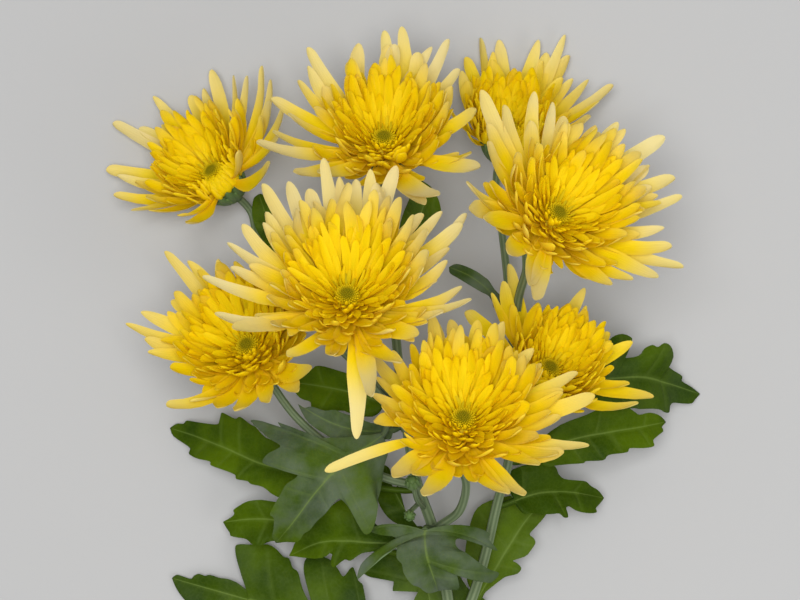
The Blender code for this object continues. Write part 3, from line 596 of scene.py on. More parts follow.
# %% [markdown]
# ## Leaves
#
# A chrysanthemum leaf has two or three pairs of lobes with blunt teeth, on a stalk that the blade runs
# down to, and no two are alike. It could be one drawn leaf that is copied and bent, but the spray shows
# each leaf from above, so each has its own midrib and its own two edges. They are given as the eye sees
# them: pixels of an 800 by 600 picture from the camera above, with a height over the surface for the
# midrib. The rest is worked out: straight side veins run from the midrib forwards to the edge, and the
# blade rises from the midrib and hangs down again towards the lobes.

# %% Table of the leaves
# Point near which the stalk leaves a stem, in plan millimetres; midrib as pixel, pixel, height; one
# edge and the other from the stalk to the tip, as pixels; and how much frost, with painted sheen, the
# leaf shows.
LEAVES = {
    "leaf_1": ((7, -68, 33),
               ((335, 478, 30), (298, 471, 27), (262, 464, 22), (225, 448, 14), (195, 436, 7),
                (170, 428, 1)),
               ((326, 468), (304, 455), (285, 444), (268, 438), (258, 428), (252, 425), (240, 417),
                (235, 419), (223, 413), (221, 415), (220, 423), (216, 425), (200, 423), (188, 421),
                (184, 424), (177, 424)),
               ((326, 493), (302, 502), (278, 496), (265, 487), (252, 484), (248, 481), (237, 479),
                (236, 475), (230, 472), (214, 466), (213, 462), (200, 459), (190, 454), (191, 449),
                (187, 445), (174, 436)), 0.0),
    "leaf_2": ((-3, -42, 48),
               ((381, 436, 49), (362, 449, 53), (345, 460, 55), (330, 476, 55), (312, 497, 53),
                (295, 520, 49), (276, 543, 43)),
               ((366, 436), (345, 438), (325, 438), (309, 441), (299, 435), (290, 427), (282, 420),
                (284, 427), (276, 424), (268, 419), (256, 417), (260, 427), (268, 438), (280, 446),
                (276, 450), (266, 456), (261, 465), (276, 468), (296, 472), (297, 477), (287, 484),
                (281, 494), (272, 511), (276, 516), (275, 527), (273, 536)),
               ((385, 446), (384, 458), (383, 470), (382, 490), (379, 505), (377, 519), (371, 533),
                (363, 536), (356, 522), (348, 507), (341, 499), (336, 500), (326, 512), (318, 519),
                (310, 529), (304, 533), (298, 541), (286, 541)), 0.75),
    "leaf_3": ((1, -44, 41),
               ((392, 430, 43), (365, 431, 46), (340, 426, 47), (318, 416, 46), (298, 404, 43)),
               ((385, 424), (370, 423), (356, 417), (345, 414), (335, 410), (325, 411), (312, 407),
                (304, 408)),
               ((388, 437), (370, 443), (350, 442), (335, 439), (322, 432), (310, 423), (303, 413)),
               0.7),
    "leaf_4": ((0, -36, 41),
               ((385, 403, 40), (350, 392, 37), (320, 386, 31), (291, 382, 24)),
               ((378, 388), (360, 378), (340, 371), (320, 366), (314, 370), (302, 371)),
               ((378, 412), (362, 417), (346, 411), (334, 411), (322, 411), (315, 408), (313, 402),
                (303, 399), (298, 394)), 0.0),
    "leaf_5": ((14, -92, 22),
               ((330, 536, 22), (300, 528, 19), (275, 520, 16), (250, 519, 13), (223, 522, 10)),
               ((322, 523), (300, 509), (286, 503), (275, 502), (262, 500), (250, 501), (240, 506),
                (234, 510), (235, 513), (232, 517)),
               ((322, 540), (305, 536), (288, 539), (272, 541), (262, 545), (254, 544), (247, 539),
                (238, 537), (232, 535), (231, 532), (226, 526)), 0.0),
    "leaf_6": ((19, -124, 10),
               ((440, 640, 11), (390, 634, 12), (335, 622, 11), (280, 608, 8), (225, 593, 4),
                (172, 578, 1)),
               ((420, 628), (395, 622), (372, 612), (361, 600), (363, 586), (358, 581), (353, 569),
                (349, 570), (343, 577), (337, 569), (328, 560), (316, 557), (305, 559), (303, 569),
                (306, 581), (312, 593), (315, 604), (311, 604), (303, 589), (298, 573), (292, 568),
                (288, 559), (282, 557), (275, 550), (266, 545), (250, 545), (236, 545), (235, 552),
                (238, 563), (244, 574), (251, 582), (258, 589), (249, 591), (238, 583), (228, 579),
                (220, 578), (210, 575), (205, 576), (199, 574), (194, 576), (191, 579), (184, 577),
                (177, 575)),
               ((420, 655), (390, 664), (364, 672), (342, 662), (324, 645), (304, 652), (274, 654),
                (252, 638), (236, 622), (216, 620), (203, 611), (190, 604), (182, 596), (176, 587)),
               0.1),
    "leaf_7": ((12, -84, 26),
               ((398, 543, 29), (370, 543, 29), (345, 541, 27), (318, 543, 24), (289, 556, 20)),
               ((390, 535), (376, 524), (362, 508), (350, 498), (340, 500), (330, 508), (318, 520),
                (308, 530), (302, 535), (297, 541), (293, 549)),
               ((386, 548), (374, 551), (362, 553), (352, 560), (346, 559), (334, 567), (331, 561),
                (333, 555), (330, 553), (324, 557), (303, 557), (295, 556)), 0.0),
    "leaf_8": ((13, -88, 24),
               ((420, 530, 24), (404, 508, 24), (393, 487, 22), (385, 465, 20)),
               ((404, 526), (388, 517), (378, 500), (376, 480), (380, 469)),
               ((419, 527), (411, 524), (406, 513), (402, 499), (398, 486), (394, 490), (391, 482),
                (390, 470)), 0.0),
    "leaf_9": ((14, -79, 36),
               ((425, 530, 43), (425, 543, 47), (427, 558, 48), (432, 573, 45), (438, 591, 39)),
               ((417, 534), (404, 532), (388, 529), (374, 522), (371, 526), (381, 533), (396, 538),
                (385, 543), (371, 549), (361, 555), (358, 566), (369, 561), (380, 555), (391, 551),
                (397, 549), (397, 559), (402, 564), (404, 573), (410, 580), (418, 585), (426, 591)),
               ((433, 534), (446, 533), (460, 530), (476, 526), (489, 527), (488, 533), (498, 540),
                (484, 542), (470, 542), (457, 542), (456, 547), (466, 553), (479, 563), (491, 573),
                (501, 580), (493, 588), (485, 586), (474, 577), (462, 565), (453, 556), (454, 566),
                (457, 577), (457, 585), (448, 587)), 0.9),
    "leaf_10": ((40, -32, 31),
                ((560, 386, 31), (600, 380, 28), (640, 377, 20), (670, 384, 9), (700, 394, 1)),
                ((566, 374), (578, 364), (598, 353), (612, 338), (625, 334), (634, 338), (631, 342),
                 (618, 350), (622, 358), (636, 356), (642, 349), (650, 345), (655, 347), (662, 343),
                 (669, 346), (672, 357), (667, 365), (672, 370), (681, 376), (681, 381), (691, 387)),
                ((568, 399), (588, 406), (610, 409), (632, 408), (640, 409), (655, 408), (661, 411),
                 (666, 411), (667, 405), (671, 402), (681, 403), (691, 403), (695, 399)), 0.1),
    "leaf_11": ((39, -58, 32),
                ((535, 455, 34), (570, 440, 32), (610, 432, 28), (640, 427, 22), (666, 422, 15)),
                ((540, 441), (560, 425), (585, 415), (600, 409), (622, 407), (631, 412), (637, 415),
                 (648, 413), (657, 415)),
                ((540, 462), (552, 465), (568, 464), (583, 463), (586, 461), (602, 460), (605, 456),
                 (610, 454), (626, 452), (629, 448), (642, 448), (651, 446), (650, 440), (656, 435),
                 (662, 431), (661, 427)), 0.0),
    "leaf_12": ((35, -74, 28),
                ((514, 501, 28), (540, 493, 25), (570, 492, 18), (604, 498, 8)),
                ((507, 488), (510, 474), (522, 466), (546, 463), (555, 468), (558, 474), (563, 479),
                 (574, 480), (583, 481), (590, 486), (597, 490)),
                ((521, 511), (532, 513), (549, 514), (556, 513), (561, 517), (566, 516), (564, 508),
                 (568, 506), (575, 510), (583, 512), (593, 511), (593, 507), (599, 503)), 0.0),
    "leaf_13": ((26, -110, 14),
                ((478, 598, 13), (495, 570, 14), (510, 545, 14), (528, 518, 12), (546, 500, 8)),
                ((470, 584), (465, 566), (466, 546), (470, 526), (478, 508), (496, 499), (528, 494)),
                ((490, 588), (500, 580), (506, 576), (517, 573), (521, 567), (516, 562), (513, 560),
                 (525, 556), (530, 551), (535, 543), (533, 538), (529, 534), (536, 526), (547, 512)),
                0.1),
    "leaf_14": ((41, -10, 37),
                ((500, 305, 38), (485, 287, 41), (468, 275, 43), (449, 267, 44)),
                ((502, 298), (494, 289), (488, 280), (484, 277), (477, 272), (467, 267), (456, 264)),
                ((494, 305), (489, 296), (480, 291), (468, 284), (458, 278), (450, 273)), 0.7),
    "leaf_15": ((-4, 14, 38),
                ((402, 248, 40), (415, 225, 41), (424, 203, 42), (421, 180, 40)),
                ((399, 235), (403, 215), (410, 198), (414, 185)),
                ((414, 239), (425, 231), (438, 220), (441, 213), (440, 205), (437, 197), (430, 187)),
                0.1),
    "leaf_16": ((-42, 7, 19),
                ((285, 268, 20), (275, 240, 19), (266, 215, 15), (259, 194, 10)),
                ((277, 261), (266, 245), (256, 228), (253, 212), (254, 200)),
                ((290, 260), (287, 245), (281, 225), (272, 208), (264, 196)), 0.1),
    "leaf_17": ((21, -142, 7),
                ((452, 665, 5), (441, 635, 8), (431, 605, 9), (425, 580, 8), (423, 558, 5)),
                ((440, 655), (424, 640), (416, 620), (413, 603), (419, 588), (411, 580), (401, 586),
                 (393, 591), (394, 580), (388, 577), (371, 577), (361, 570), (364, 562), (385, 554),
                 (408, 554)),
                ((462, 655), (476, 640), (481, 618), (486, 602), (471, 592), (462, 580), (455, 568),
                 (438, 558)), 0.15),
}
print("leaves:", len(LEAVES), "points on their edges:",
      sum(len(one) + len(other) for _, _, one, other, _ in LEAVES.values()))

# %% From pixels to the plan
def plan_of(pixels, height):
    """Plan points that the camera sees at pixels, at a height over the surface for each.

    At PLAN_HEIGHT one pixel spans its share of SEEN_WIDTH, and more in proportion further down.
    """
    width, tall = PICTURE
    scale = SEEN_WIDTH / width * (CAMERA_HEIGHT - height) / (CAMERA_HEIGHT - PLAN_HEIGHT)
    return np.stack([(pixels[:, 0] - width / 2) * scale, (tall / 2 - pixels[:, 1]) * scale, height],
                    axis=-1)


# %% [markdown]
# A stalk leaves its stem squarely and bends until it runs straight into the midrib, which is what a
# cubic curve with two guide points does.

# %% Stalks
STALK_ROWS = 8
STALK_SWING = 0.35           # distance of the guide points from the ends, as a share of the stalk


def leaf_foot(root, tip):
    """Where a stalk leaves the stem nearest to its root, and the direction that it leaves in."""
    found = []
    for line, radius in stem_lines.values():
        away = np.linalg.norm(line - root, axis=1)
        k = int(away.argmin())
        found.append((float(away[k]), k, line, radius))
    _, k, line, radius = min(found, key=lambda one: one[0])
    way = unit(line[min(k + 1, len(line) - 1)] - line[max(k - 1, 0)])
    out = tip - line[k]
    out = unit(out - (out @ way) * way)
    return line[k] + out * radius[k] * 0.7, out


def stalk_line(root, middle):
    """A stalk's points: (1-t)^3 a + 3 (1-t)^2 t b + 3 (1-t) t^2 c + t^3 d, from stem to blade."""
    start, out = leaf_foot(np.array(root, float), middle[len(middle) // 2])
    into = unit(middle[3] - middle[0])
    reach = np.linalg.norm(middle[0] - start)
    t = np.linspace(0, 1, STALK_ROWS, endpoint=False)[:, None]
    return ((1 - t) ** 3 * start + 3 * (1 - t) ** 2 * t * (start + out * STALK_SWING * reach)
            + 3 * (1 - t) * t ** 2 * (middle[0] - into * STALK_SWING * reach) + t ** 3 * middle[0])


# %% [markdown]
# The blade is laid out as rows. A row is a side vein: it starts on the midrib and ends on an edge, and
# runs forwards a little on its way, as in the real leaf. The rows that end in the tip of a lobe show
# as veins; the others only carry the surface.

# %% Rows of a blade
EDGE_STEP = 3                # points between two given points of an edge
RIB_STEP = 40                # and of a midrib
VEIN_SWEEP = 0.45            # how far a side vein runs forwards, as a share of its length


def edge_feet(edge, rib):
    """Place along the rib, from 0 to 1, where the side vein to each point of an edge starts.

    It is the place of the nearest point of the rib, less a share of the distance to it. Running
    highest and lowest values make the places rise all the way, so that no two veins cross.
    """
    apart = np.linalg.norm(edge[:, None] - rib[None], axis=-1)
    place = apart.argmin(axis=1) / (len(rib) - 1) - VEIN_SWEEP * apart.min(axis=1) / walked(rib)[-1]
    place[0], place[-1] = 0.0, 1.0
    place = np.clip(place, 0.0, 1.0)
    highest = np.maximum.accumulate(place)
    lowest = np.minimum.accumulate(place[::-1])[::-1]
    gone = walked(edge)
    return 0.43 * (highest + lowest) + 0.14 * gone / gone[-1]


def blade_offsets(name):
    """Midrib points of the blade's rows, and for each the way to one edge and to the other."""
    _, rib, one, other, _ = LEAVES[name]
    rib = smooth_line(rib, RIB_STEP)
    place = np.arange(len(rib)) / (len(rib) - 1)
    edges = [smooth_line((rib[0, :2], *side, rib[-1, :2]), EDGE_STEP) for side in (one, other)]
    feet = [edge_feet(edge, rib[:, :2]) for edge in edges]
    rows = np.unique(np.concatenate(feet).round(4))
    rib_rows = np.stack([np.interp(rows, place, rib[:, k]) for k in range(3)], axis=-1)
    middle = plan_of(rib_rows[:, :2], rib_rows[:, 2])
    offsets = []
    for edge, foot in zip(edges, feet):
        pixels = np.stack([np.interp(rows, foot, edge[:, k]) for k in range(2)], axis=-1)
        offsets.append(plan_of(pixels, rib_rows[:, 2]) - middle)
    return rows, middle, offsets


# %% [markdown]
# A vein is a narrow band that thins towards the edge. Its strength falls off from its middle as a bell
# curve does, and later sinks the surface a little and makes it paler.

# %% Veins of a blade
LEAST_LOBE = 3.2             # width of a blade from which a side vein shows
SIDE_VEIN = (0.6, 0.3)       # half width of a side vein at the midrib, and how much it loses
SIDE_VEIN_END = 0.94         # share of the way to the edge where it ends


def lobe_veins(offset):
    """Rows whose edge point is the tip of a lobe or tooth: further out than the points near it."""
    width = np.linalg.norm(offset[:, :2], axis=1)
    window = max(3, len(offset) // 14)
    padded = np.pad(width, window, mode="edge")
    around = np.lib.stride_tricks.sliding_window_view(padded, 2 * window + 1)
    return np.flatnonzero((width >= around.max(axis=1)) & (width > LEAST_LOBE))


def vein_share(points, middle, offsets):
    """1 on the side veins, fading to 0 about half a millimetre beside them."""
    near = np.zeros(points.shape[:2])
    for offset in offsets:
        for k in lobe_veins(offset):
            start, way = middle[k, :2], offset[k, :2] * SIDE_VEIN_END
            along = np.clip(((points[..., :2] - start) @ way) / (way @ way), 0, 1)
            apart = np.linalg.norm(points[..., :2] - start - along[..., None] * way, axis=-1)
            half = SIDE_VEIN[0] - SIDE_VEIN[1] * along
            near = np.maximum(near, np.exp(-(apart / half) ** 2))
    return near


# %% [markdown]
# The blade's height over the line from midrib to edge is a sum: it rises beside the midrib and turns
# down again further out, waves along the edge, puffs up between the veins and sinks in on them. The
# underside is the same surface, half a millimetre lower.

# %% One leaf
LEAF_DEPTH = 0.5             # thickness of the blade
STALK_HALF_WIDTH = 1.1
COLUMNS = 13                 # points across the upper face
FOLD = 0.30                  # slope of the blade beside the midrib
DROP = 0.021                 # and how fast the slope turns down, for each millimetre of width
FOLD_HEIGHT = 12.0           # the blade lies flatter below this height over the surface
WAVES = 2.6                  # along an edge
WAVE_HEIGHT = 0.9
PUFF = 0.05                  # rise between two veins for each millimetre of width, up to PUFF_WIDTH
PUFF_WIDTH = 5.0
SUNK = 0.15                  # depth of the veins
MAIN_VEIN = (0.65, 0.3)      # half width of the midrib at the stalk, and how much it loses
EDGE_HEIGHT = 0.3            # least height of the edges over the surface
FACE_HEIGHT = 0.6            # and of the rest of the upper face


def leaf_shape(name, chance):
    """A leaf as rings of points: over the upper face from edge to edge, and back under it."""
    root, _, _, _, frost = LEAVES[name]
    rows, middle, offsets = blade_offsets(name)
    rib = np.concatenate([stalk_line(root, middle), middle])
    along = unit(np.gradient(rib, axis=0))
    side = unit(np.cross((0.0, 0.0, 1.0), along))
    up = np.cross(along, side)
    if (offsets[0] * side[STALK_ROWS:]).sum() < 0:
        offsets = offsets[::-1]

    blade = np.concatenate([np.zeros(STALK_ROWS), rows])[:, None]
    is_blade = (np.arange(len(rib)) >= STALK_ROWS)[:, None]
    neck = STALK_HALF_WIDTH * (1 - smooth(blade / 0.06)) + 0.1
    to_edge = [np.concatenate([np.zeros((STALK_ROWS, 3)), offset]) + side * sign * neck
               for offset, sign in zip(offsets, (1, -1))]
    share, under = face_shares(COLUMNS)
    way = np.where((share > 0)[None, :, None], to_edge[0][:, None], to_edge[1][:, None])
    flat = rib[:, None] + way * np.abs(share)[None, :, None]

    width = np.linalg.norm(way, axis=-1) * np.abs(share)[None]
    low = np.clip(rib[:, 2] / FOLD_HEIGHT, 0.15, 1)[:, None]
    vein = vein_share(flat, middle, offsets) * is_blade
    midrib = np.exp(-(width / (MAIN_VEIN[0] - MAIN_VEIN[1] * blade)) ** 2)
    veins = np.maximum(vein, midrib)
    wave = np.sin(2 * math.pi * (WAVES * blade + chance.uniform(0, 1) + 0.41 * (share > 0)))
    wave = WAVE_HEIGHT * wave * share ** 2 * smooth(width / 7)
    puff = PUFF * np.minimum(width, PUFF_WIDTH) * (1 - veins)
    rise = ((FOLD * width - DROP * width ** 2 + wave) * low + puff - SUNK * veins) * is_blade
    round_stalk = np.sqrt(np.maximum(1 - share ** 2, 0))[None] * STALK_HALF_WIDTH
    thick = np.maximum(LEAF_DEPTH / 2, round_stalk * (1 - smooth(blade / 0.15)))
    thick = thick * (np.abs(share) < 1) * np.where(under > 0, -1.0, 1.0)
    points = flat + up[:, None] * (rise + thick)[..., None]
    least = np.where(under > 0, 0.0, np.where(np.abs(share) == 1, EDGE_HEIGHT, FACE_HEIGHT))
    points[..., 2] = np.maximum(points[..., 2], least)

    def spread(values):
        """Values at every point of the shell, the first and last ring's for its two end points."""
        ring_values = np.broadcast_to(values, points.shape[:2])[:-1]
        return np.concatenate([[ring_values[0, 0]], ring_values.ravel(), [ring_values[-1, 0]]])

    tip = np.maximum(rib[-1:], (-np.inf, -np.inf, EDGE_HEIGHT))
    shell = np.concatenate([rib[:1], points[:-1].reshape(-1, 3), tip])
    uv = np.stack([spread(share * 0.5 + 0.5), spread(blade)], axis=-1)
    # the leaf's share of frost and of painted sheen is stored at its points
    values = {"vein": spread(veins), "under": spread(under), "frost": spread(frost),
              "tint": spread(chance.uniform(0, 1))}
    shape = tubes(shell[None], len(points) - 1, len(share), uv, values)
    return shape, points[::4, ::3].reshape(-1, 3)


# %% [markdown]
# The upper face is a deep green with paler veins and a bluish frost of fine hairs, strong on the young
# leaves; its grey-green patches are partly that frost and partly a painted sheen of reflected light. A
# net of small veins divides it into cells; a Voronoi pattern's cell borders look like that.

# %% Leaf material
LEAF_GREEN = (0.060, 0.104, 0.001, 1.0)
LEAF_DARK = (0.018, 0.040, 0.001, 1.0)
# grey-green of the frost of hairs, partly a painted sheen of reflected light
LEAF_FROST_AND_SHEEN = (0.090, 0.114, 0.082, 1.0)
VEIN_PALE = (0.150, 0.215, 0.045, 1.0)
UNDER_PALE = (0.220, 0.310, 0.160, 1.0)
SIDE_VEINS = 0.126           # share of VEIN_PALE on the side veins
MIDRIB = (0.004, 0.024, 0.42)    # across the blade: where it starts to fade, has faded, and its share


def ranged(tree, value, low, high, first=0.0, last=1.0):
    """A value that goes from first to last while another goes from low to high."""
    sockets = {0: value, 1: low, 2: high, 3: first, 4: last}
    return add_node(tree, "ShaderNodeMapRange", sockets).outputs[0]


def leaf_skin():
    """Green blade with a thin pale midrib, side veins, a net of small ones, frost with painted sheen and
    a pale back.

    The midrib is a line in the middle of the UV map, so it is thinner than the mesh could show.
    """
    made, tree, shader = plain_material("leaf_skin", LEAF_GREEN[:3], 0.5)
    net = add_node(tree, "ShaderNodeTexVoronoi", {"Vector": place_of(tree), "Scale": 600.0},
                   feature="DISTANCE_TO_EDGE")
    cells = ranged(tree, net.outputs[0], 0.0, 0.12)
    patches = ranged(tree, noise(tree, 38.0, 4.0), 0.36, 0.60)
    green = mix_colours(tree, patches, LEAF_DARK, LEAF_GREEN)
    age = ranged(tree, value_of(tree, "tint"), 0.4, 1.0, 0.0, 0.55)
    aged = mix_colours(tree, age, green, LEAF_DARK)
    # patches where the frost and the painted sheen show on a leaf
    frost_and_sheen_spots = ranged(tree, noise(tree, 65.0, 5.0), 0.38, 0.64, 0.05, 0.95)
    with_frost_and_sheen = mix_colours(tree, times(tree, value_of(tree, "frost"), frost_and_sheen_spots), aged, LEAF_FROST_AND_SHEEN)
    netted = mix_colours(tree, ranged(tree, cells, 0.0, 1.0, 0.05, 0.0), with_frost_and_sheen, VEIN_PALE)
    veined = mix_colours(tree, value_of(tree, "vein", SIDE_VEINS), netted, VEIN_PALE)

    uv = add_node(tree, "ShaderNodeUVMap", uv_map="grain").outputs[0]
    across = add_node(tree, "ShaderNodeSeparateXYZ", {0: uv}).outputs[0]
    beside = add_node(tree, "ShaderNodeMath", {0: across, 1: 0.5}, operation="SUBTRACT").outputs[0]
    apart = add_node(tree, "ShaderNodeMath", {0: beside}, operation="ABSOLUTE").outputs[0]
    ribbed = mix_colours(tree, ranged(tree, apart, *MIDRIB, 0.0), veined, VEIN_PALE)
    final = mix_colours(tree, value_of(tree, "under", 0.7), ribbed, UNDER_PALE)
    small = relief(tree, cells, 0.10, 0.0002)
    dress(tree, shader, final, relief(tree, noise(tree, 210.0), 0.45, 0.0016, Normal=small), 0.04)
    return made


# %% Make the leaves
leaf_look = leaf_skin()
chance = np.random.default_rng(30)
leaf_points = []
for name in LEAVES:
    shape, sampled = leaf_shape(name, chance)
    leaf_points.append(sampled)
    blade = add_piece(name + "_blade", shape, leaf_look)
    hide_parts(name)
print("faces in the last leaf:", len(blade.data.polygons))

# %% [markdown]
# ## How a bloom grows
#
# Florets of a daisy head follow the golden angle: each one stands 137.5 degrees on from the one
# before. From the middle outwards the petals get longer and wider and lean further over, from almost
# upright round the green disc to nearly flat at the back.

# %% The spiral of petals
PETALS = 210
GOLDEN_ANGLE = math.radians(137.508)
# Place from the middle outwards, then of the tip its angle from the axis and its distance from the
# middle of the disc, the angle at which the petal leaves the head, its half width, and the radius and
# height of its root
GROWTH = np.array([(0.00, 56, 5.0, 14, 0.45, 3.1, 0.6), (0.12, 55, 10.5, 24, 0.90, 4.4, 0.3),
                   (0.26, 54, 18.0, 36, 1.75, 5.4, -0.3), (0.42, 54, 24.0, 48, 2.40, 6.2, -1.0),
                   (0.62, 57, 28.5, 60, 2.85, 6.8, -2.4), (0.82, 66, 31.5, 72, 3.00, 7.2, -4.2),
                   (1.00, 80, 33.0, 82, 3.00, 6.9, -6.2)])
SAG = 12                     # degrees that a petal opens more on the side that hangs down
SHORTER = 0.30               # share of its length that it lacks there, and has more on the other side
FULL_REACH = 48.0            # of the longest petals of a bloom for which GROWTH's distances hold
# Share of their length that petals lack on the hanging side of a bloom that is seen from the side
STUNTED = {"bloom_1": 0.64, "bloom_3": 0.5}
# Share of GROWTH's distances that the petals inside the outline reach: gaps open between the long
# petals of the blooms where it is small
COMPACT = {"bloom_1": 0.84, "bloom_2": 0.88, "bloom_3": 0.74, "bloom_4": 0.92, "bloom_5": 1.0,
           "bloom_6": 0.92, "bloom_7": 0.97, "bloom_8": 0.82}
# How far the tips have gone from yellow to cream: the oldest bloom is the palest
FADED = {"bloom_1": 0.9, "bloom_2": 0.95, "bloom_3": 0.85, "bloom_4": 0.95, "bloom_5": 1.0,
         "bloom_6": 0.5, "bloom_7": 0.6, "bloom_8": 0.55}


def grown(place, column):
    """A column of GROWTH at each petal's place, read off straight lines between its rows."""
    return np.interp(place, GROWTH[:, 0], GROWTH[:, column])


# %% [markdown]
# For the petals of the outline only the heading and the reach of the tip are known, as seen from
# above. Many directions in the bloom have the same heading there, so each aim tries every angle from
# the axis with every turn round it, and takes the pair that looks most natural. Behind each long petal
# stands a shorter one, a little to the side, as in the real bloom.

# %% Petals of the outline
OUTER_ANGLE = 74.0           # degrees from the axis at which such a petal usually stands
LONGEST_PETAL = 50.0
SHORTEST_PETAL = 26.0        # one that seems shorter points at the camera
BESIDE = 6.5                 # degrees between such a petal and the shorter one behind it
PAIRED_REACH = 30            # shorter aims than this stand alone
TRIED_TURNS = np.radians(np.arange(0, 360, 2))
TRIED_ANGLES = np.radians(np.arange(46, 126, 2))


def outline_aims(name):
    """Turn, angle, length and width share of the petals whose tips show the table's outline.

    The cost of a direction is its distance in degrees from the usual angle, plus 3 for each degree
    off the heading and 4 for each millimetre by which the petal would be too long or too short.
    """
    outline = np.array([(*aim, 1.0)[:3] for aim in BLOOMS[name][3]])
    beside = outline[(outline[:, 1] >= PAIRED_REACH) & (outline[:, 2] == 1)]
    number = np.arange(len(beside))
    beside[:, 0] += BESIDE * (-1.0) ** number
    beside[:, 1] *= 0.78 + 0.05 * (number % 3)
    outline = np.vstack([outline, beside])
    ways = towards(stand_of(name)[1], TRIED_TURNS[None, :], TRIED_ANGLES[:, None])
    seen = np.degrees(np.arctan2(ways[..., 1], ways[..., 0]))
    off = np.abs((seen[None] - outline[:, 0, None, None] + 180) % 360 - 180)
    best_turn = off.argmin(axis=2)
    rows = np.arange(len(TRIED_ANGLES))
    flat = np.hypot(ways[..., 0], ways[..., 1])[rows[None], best_turn]
    length = outline[:, 1:2] / flat
    cost = np.abs(np.degrees(TRIED_ANGLES) - OUTER_ANGLE) + 3 * off.min(axis=2)
    cost += 4 * np.maximum(0, length - LONGEST_PETAL) + 4 * np.maximum(0, SHORTEST_PETAL - length)
    pick = cost.argmin(axis=1)
    each = np.arange(len(outline))
    return (TRIED_TURNS[best_turn[each, pick]], TRIED_ANGLES[pick],
            np.minimum(length[each, pick], LONGEST_PETAL), outline[:, 2])


# %% Places for the outline's petals
OUTER_PLACE = 0.52           # petals of the spiral further out than this may take one


def give_places(aims, turn, angle, place):
    """Numbers of the spiral's petals that take the outline's aims, the longest aim choosing first."""
    off = np.degrees(aims[0][:, None] - turn[None] + math.pi) % 360 - 180
    cost = off ** 2 + 6 * np.abs(np.degrees(aims[1][:, None] - angle[None]))
    cost[:, place < OUTER_PLACE] = np.inf
    given = np.zeros(len(aims[0]), int)
    for k in np.argsort(-aims[2]):
        given[k] = cost[k].argmin()
        cost[:, given[k]] = np.inf
    return given


# %% [markdown]
# Chance makes each petal of the spiral a little longer, wider or more open than the next. The blooms
# hang with their lower side, so petals open more on it and stay shorter. After that the outline's
# petals take the places in the spiral that suit them best.

# %% All petals of a bloom
ROOT_SCATTER = 0.05          # radians by which chance moves a root off the spiral, at most
TURN_SCATTER, ANGLE_SCATTER, START_SCATTER = 4, 5, 4     # degrees, of the tip and of the way out
LENGTHS = (0.82, 1.14)       # shares of the usual length and half width that chance gives a petal
HALF_WIDTHS = (0.86, 1.12)
OUTLINE_HALF_WIDTH = 3.25
OUTLINE_CURL = 8             # degrees that a petal of the outline curls in on its way


def grow_bloom(name):
    """Arrays for a bloom's petals: root, turn and angle of the tip, length, half width and place."""
    chance = np.random.default_rng(int(name[-1]))
    number = np.arange(PETALS)
    place = number / (PETALS - 1)
    root_turn = number * GOLDEN_ANGLE + chance.uniform(-ROOT_SCATTER, ROOT_SCATTER, PETALS)
    turn = root_turn + np.radians(chance.uniform(-TURN_SCATTER, TURN_SCATTER, PETALS))
    sag = SAG * np.sin(turn) * smooth((place - 0.1) / 0.3)
    angle = np.radians(grown(place, 1) + sag + chance.uniform(-ANGLE_SCATTER, ANGLE_SCATTER, PETALS))
    start = np.radians(grown(place, 3) + 0.6 * sag
                       + chance.uniform(-START_SCATTER, START_SCATTER, PETALS))
    length = grown(place, 2) * chance.uniform(*LENGTHS, PETALS)
    length *= 1 - SHORTER * np.sin(turn) * (1 - 0.6 * smooth((place - 0.5) / 0.5))
    stunted = STUNTED.get(name, 0.0) * smooth(np.sin(turn) / 0.8)
    length *= 1 - stunted
    growth = np.sort([aim[1] for aim in BLOOMS[name][3]])[-4:].mean() / FULL_REACH
    length *= growth ** 0.8 * COMPACT[name]
    half = grown(place, 4) * chance.uniform(*HALF_WIDTHS, PETALS)
    half = half * (1 - 0.7 * stunted) * growth ** 0.6
    aims = outline_aims(name)
    given = give_places(aims, turn, angle, place)
    turn[given] = root_turn[given] + (aims[0] - root_turn[given] + math.pi) % (2 * math.pi) - math.pi
    angle[given] = aims[1]
    start[given] = aims[1] + math.radians(OUTLINE_CURL)
    length[given] = aims[2]
    half[given] = OUTLINE_HALF_WIDTH * aims[3] * chance.uniform(0.92, 1.1, len(given))
    half[given] *= 1 + 0.25 * smooth(np.sin(turn[given]))
    centre, axes = stand_of(name)
    root = (centre + towards(axes, root_turn, math.pi / 2) * grown(place, 5)[:, None]
            + axes[2] * grown(place, 6)[:, None])
    return {"axes": axes, "centre": centre, "root": root, "root_turn": root_turn, "turn": turn,
            "angle": angle, "start": start - angle, "length": length, "half": half, "place": place,
            "in_outline": np.isin(number, given), "chance": chance, "faded": FADED[name]}


blooms = {name: grow_bloom(name) for name in BLOOMS}
print("petals to a bloom:", PETALS, "of them in the outline:",
      [int(bloom["in_outline"].sum()) for bloom in blooms.values()])

# %% [markdown]
# A petal leaves the head a little flatter than its tip ends up, so it curls in towards the middle.
# Its middle line is a quadratic curve between the root and the tip.

# %% Middle lines of the petals
DROOP = 30                   # most degrees that a hanging petal turns down on its way
STEEPEST = 84                # degrees from the axis at which a petal may leave the head


def petal_ends(bloom, turn, angle, length):
    """Middle control point and tip of each petal's curve."""
    start = np.minimum(angle + bloom["start"], math.radians(STEEPEST))
    start = np.maximum(start, angle + np.minimum(bloom["start"], -math.radians(DROOP)))
    tip = bloom["centre"] + towards(bloom["axes"], turn, angle) * length[:, None]
    way = towards(bloom["axes"], (bloom["root_turn"] + turn) / 2, start)
    reach = np.linalg.norm(tip - bloom["root"], axis=1, keepdims=True)
    return bloom["root"] + way * 0.5 * reach, tip


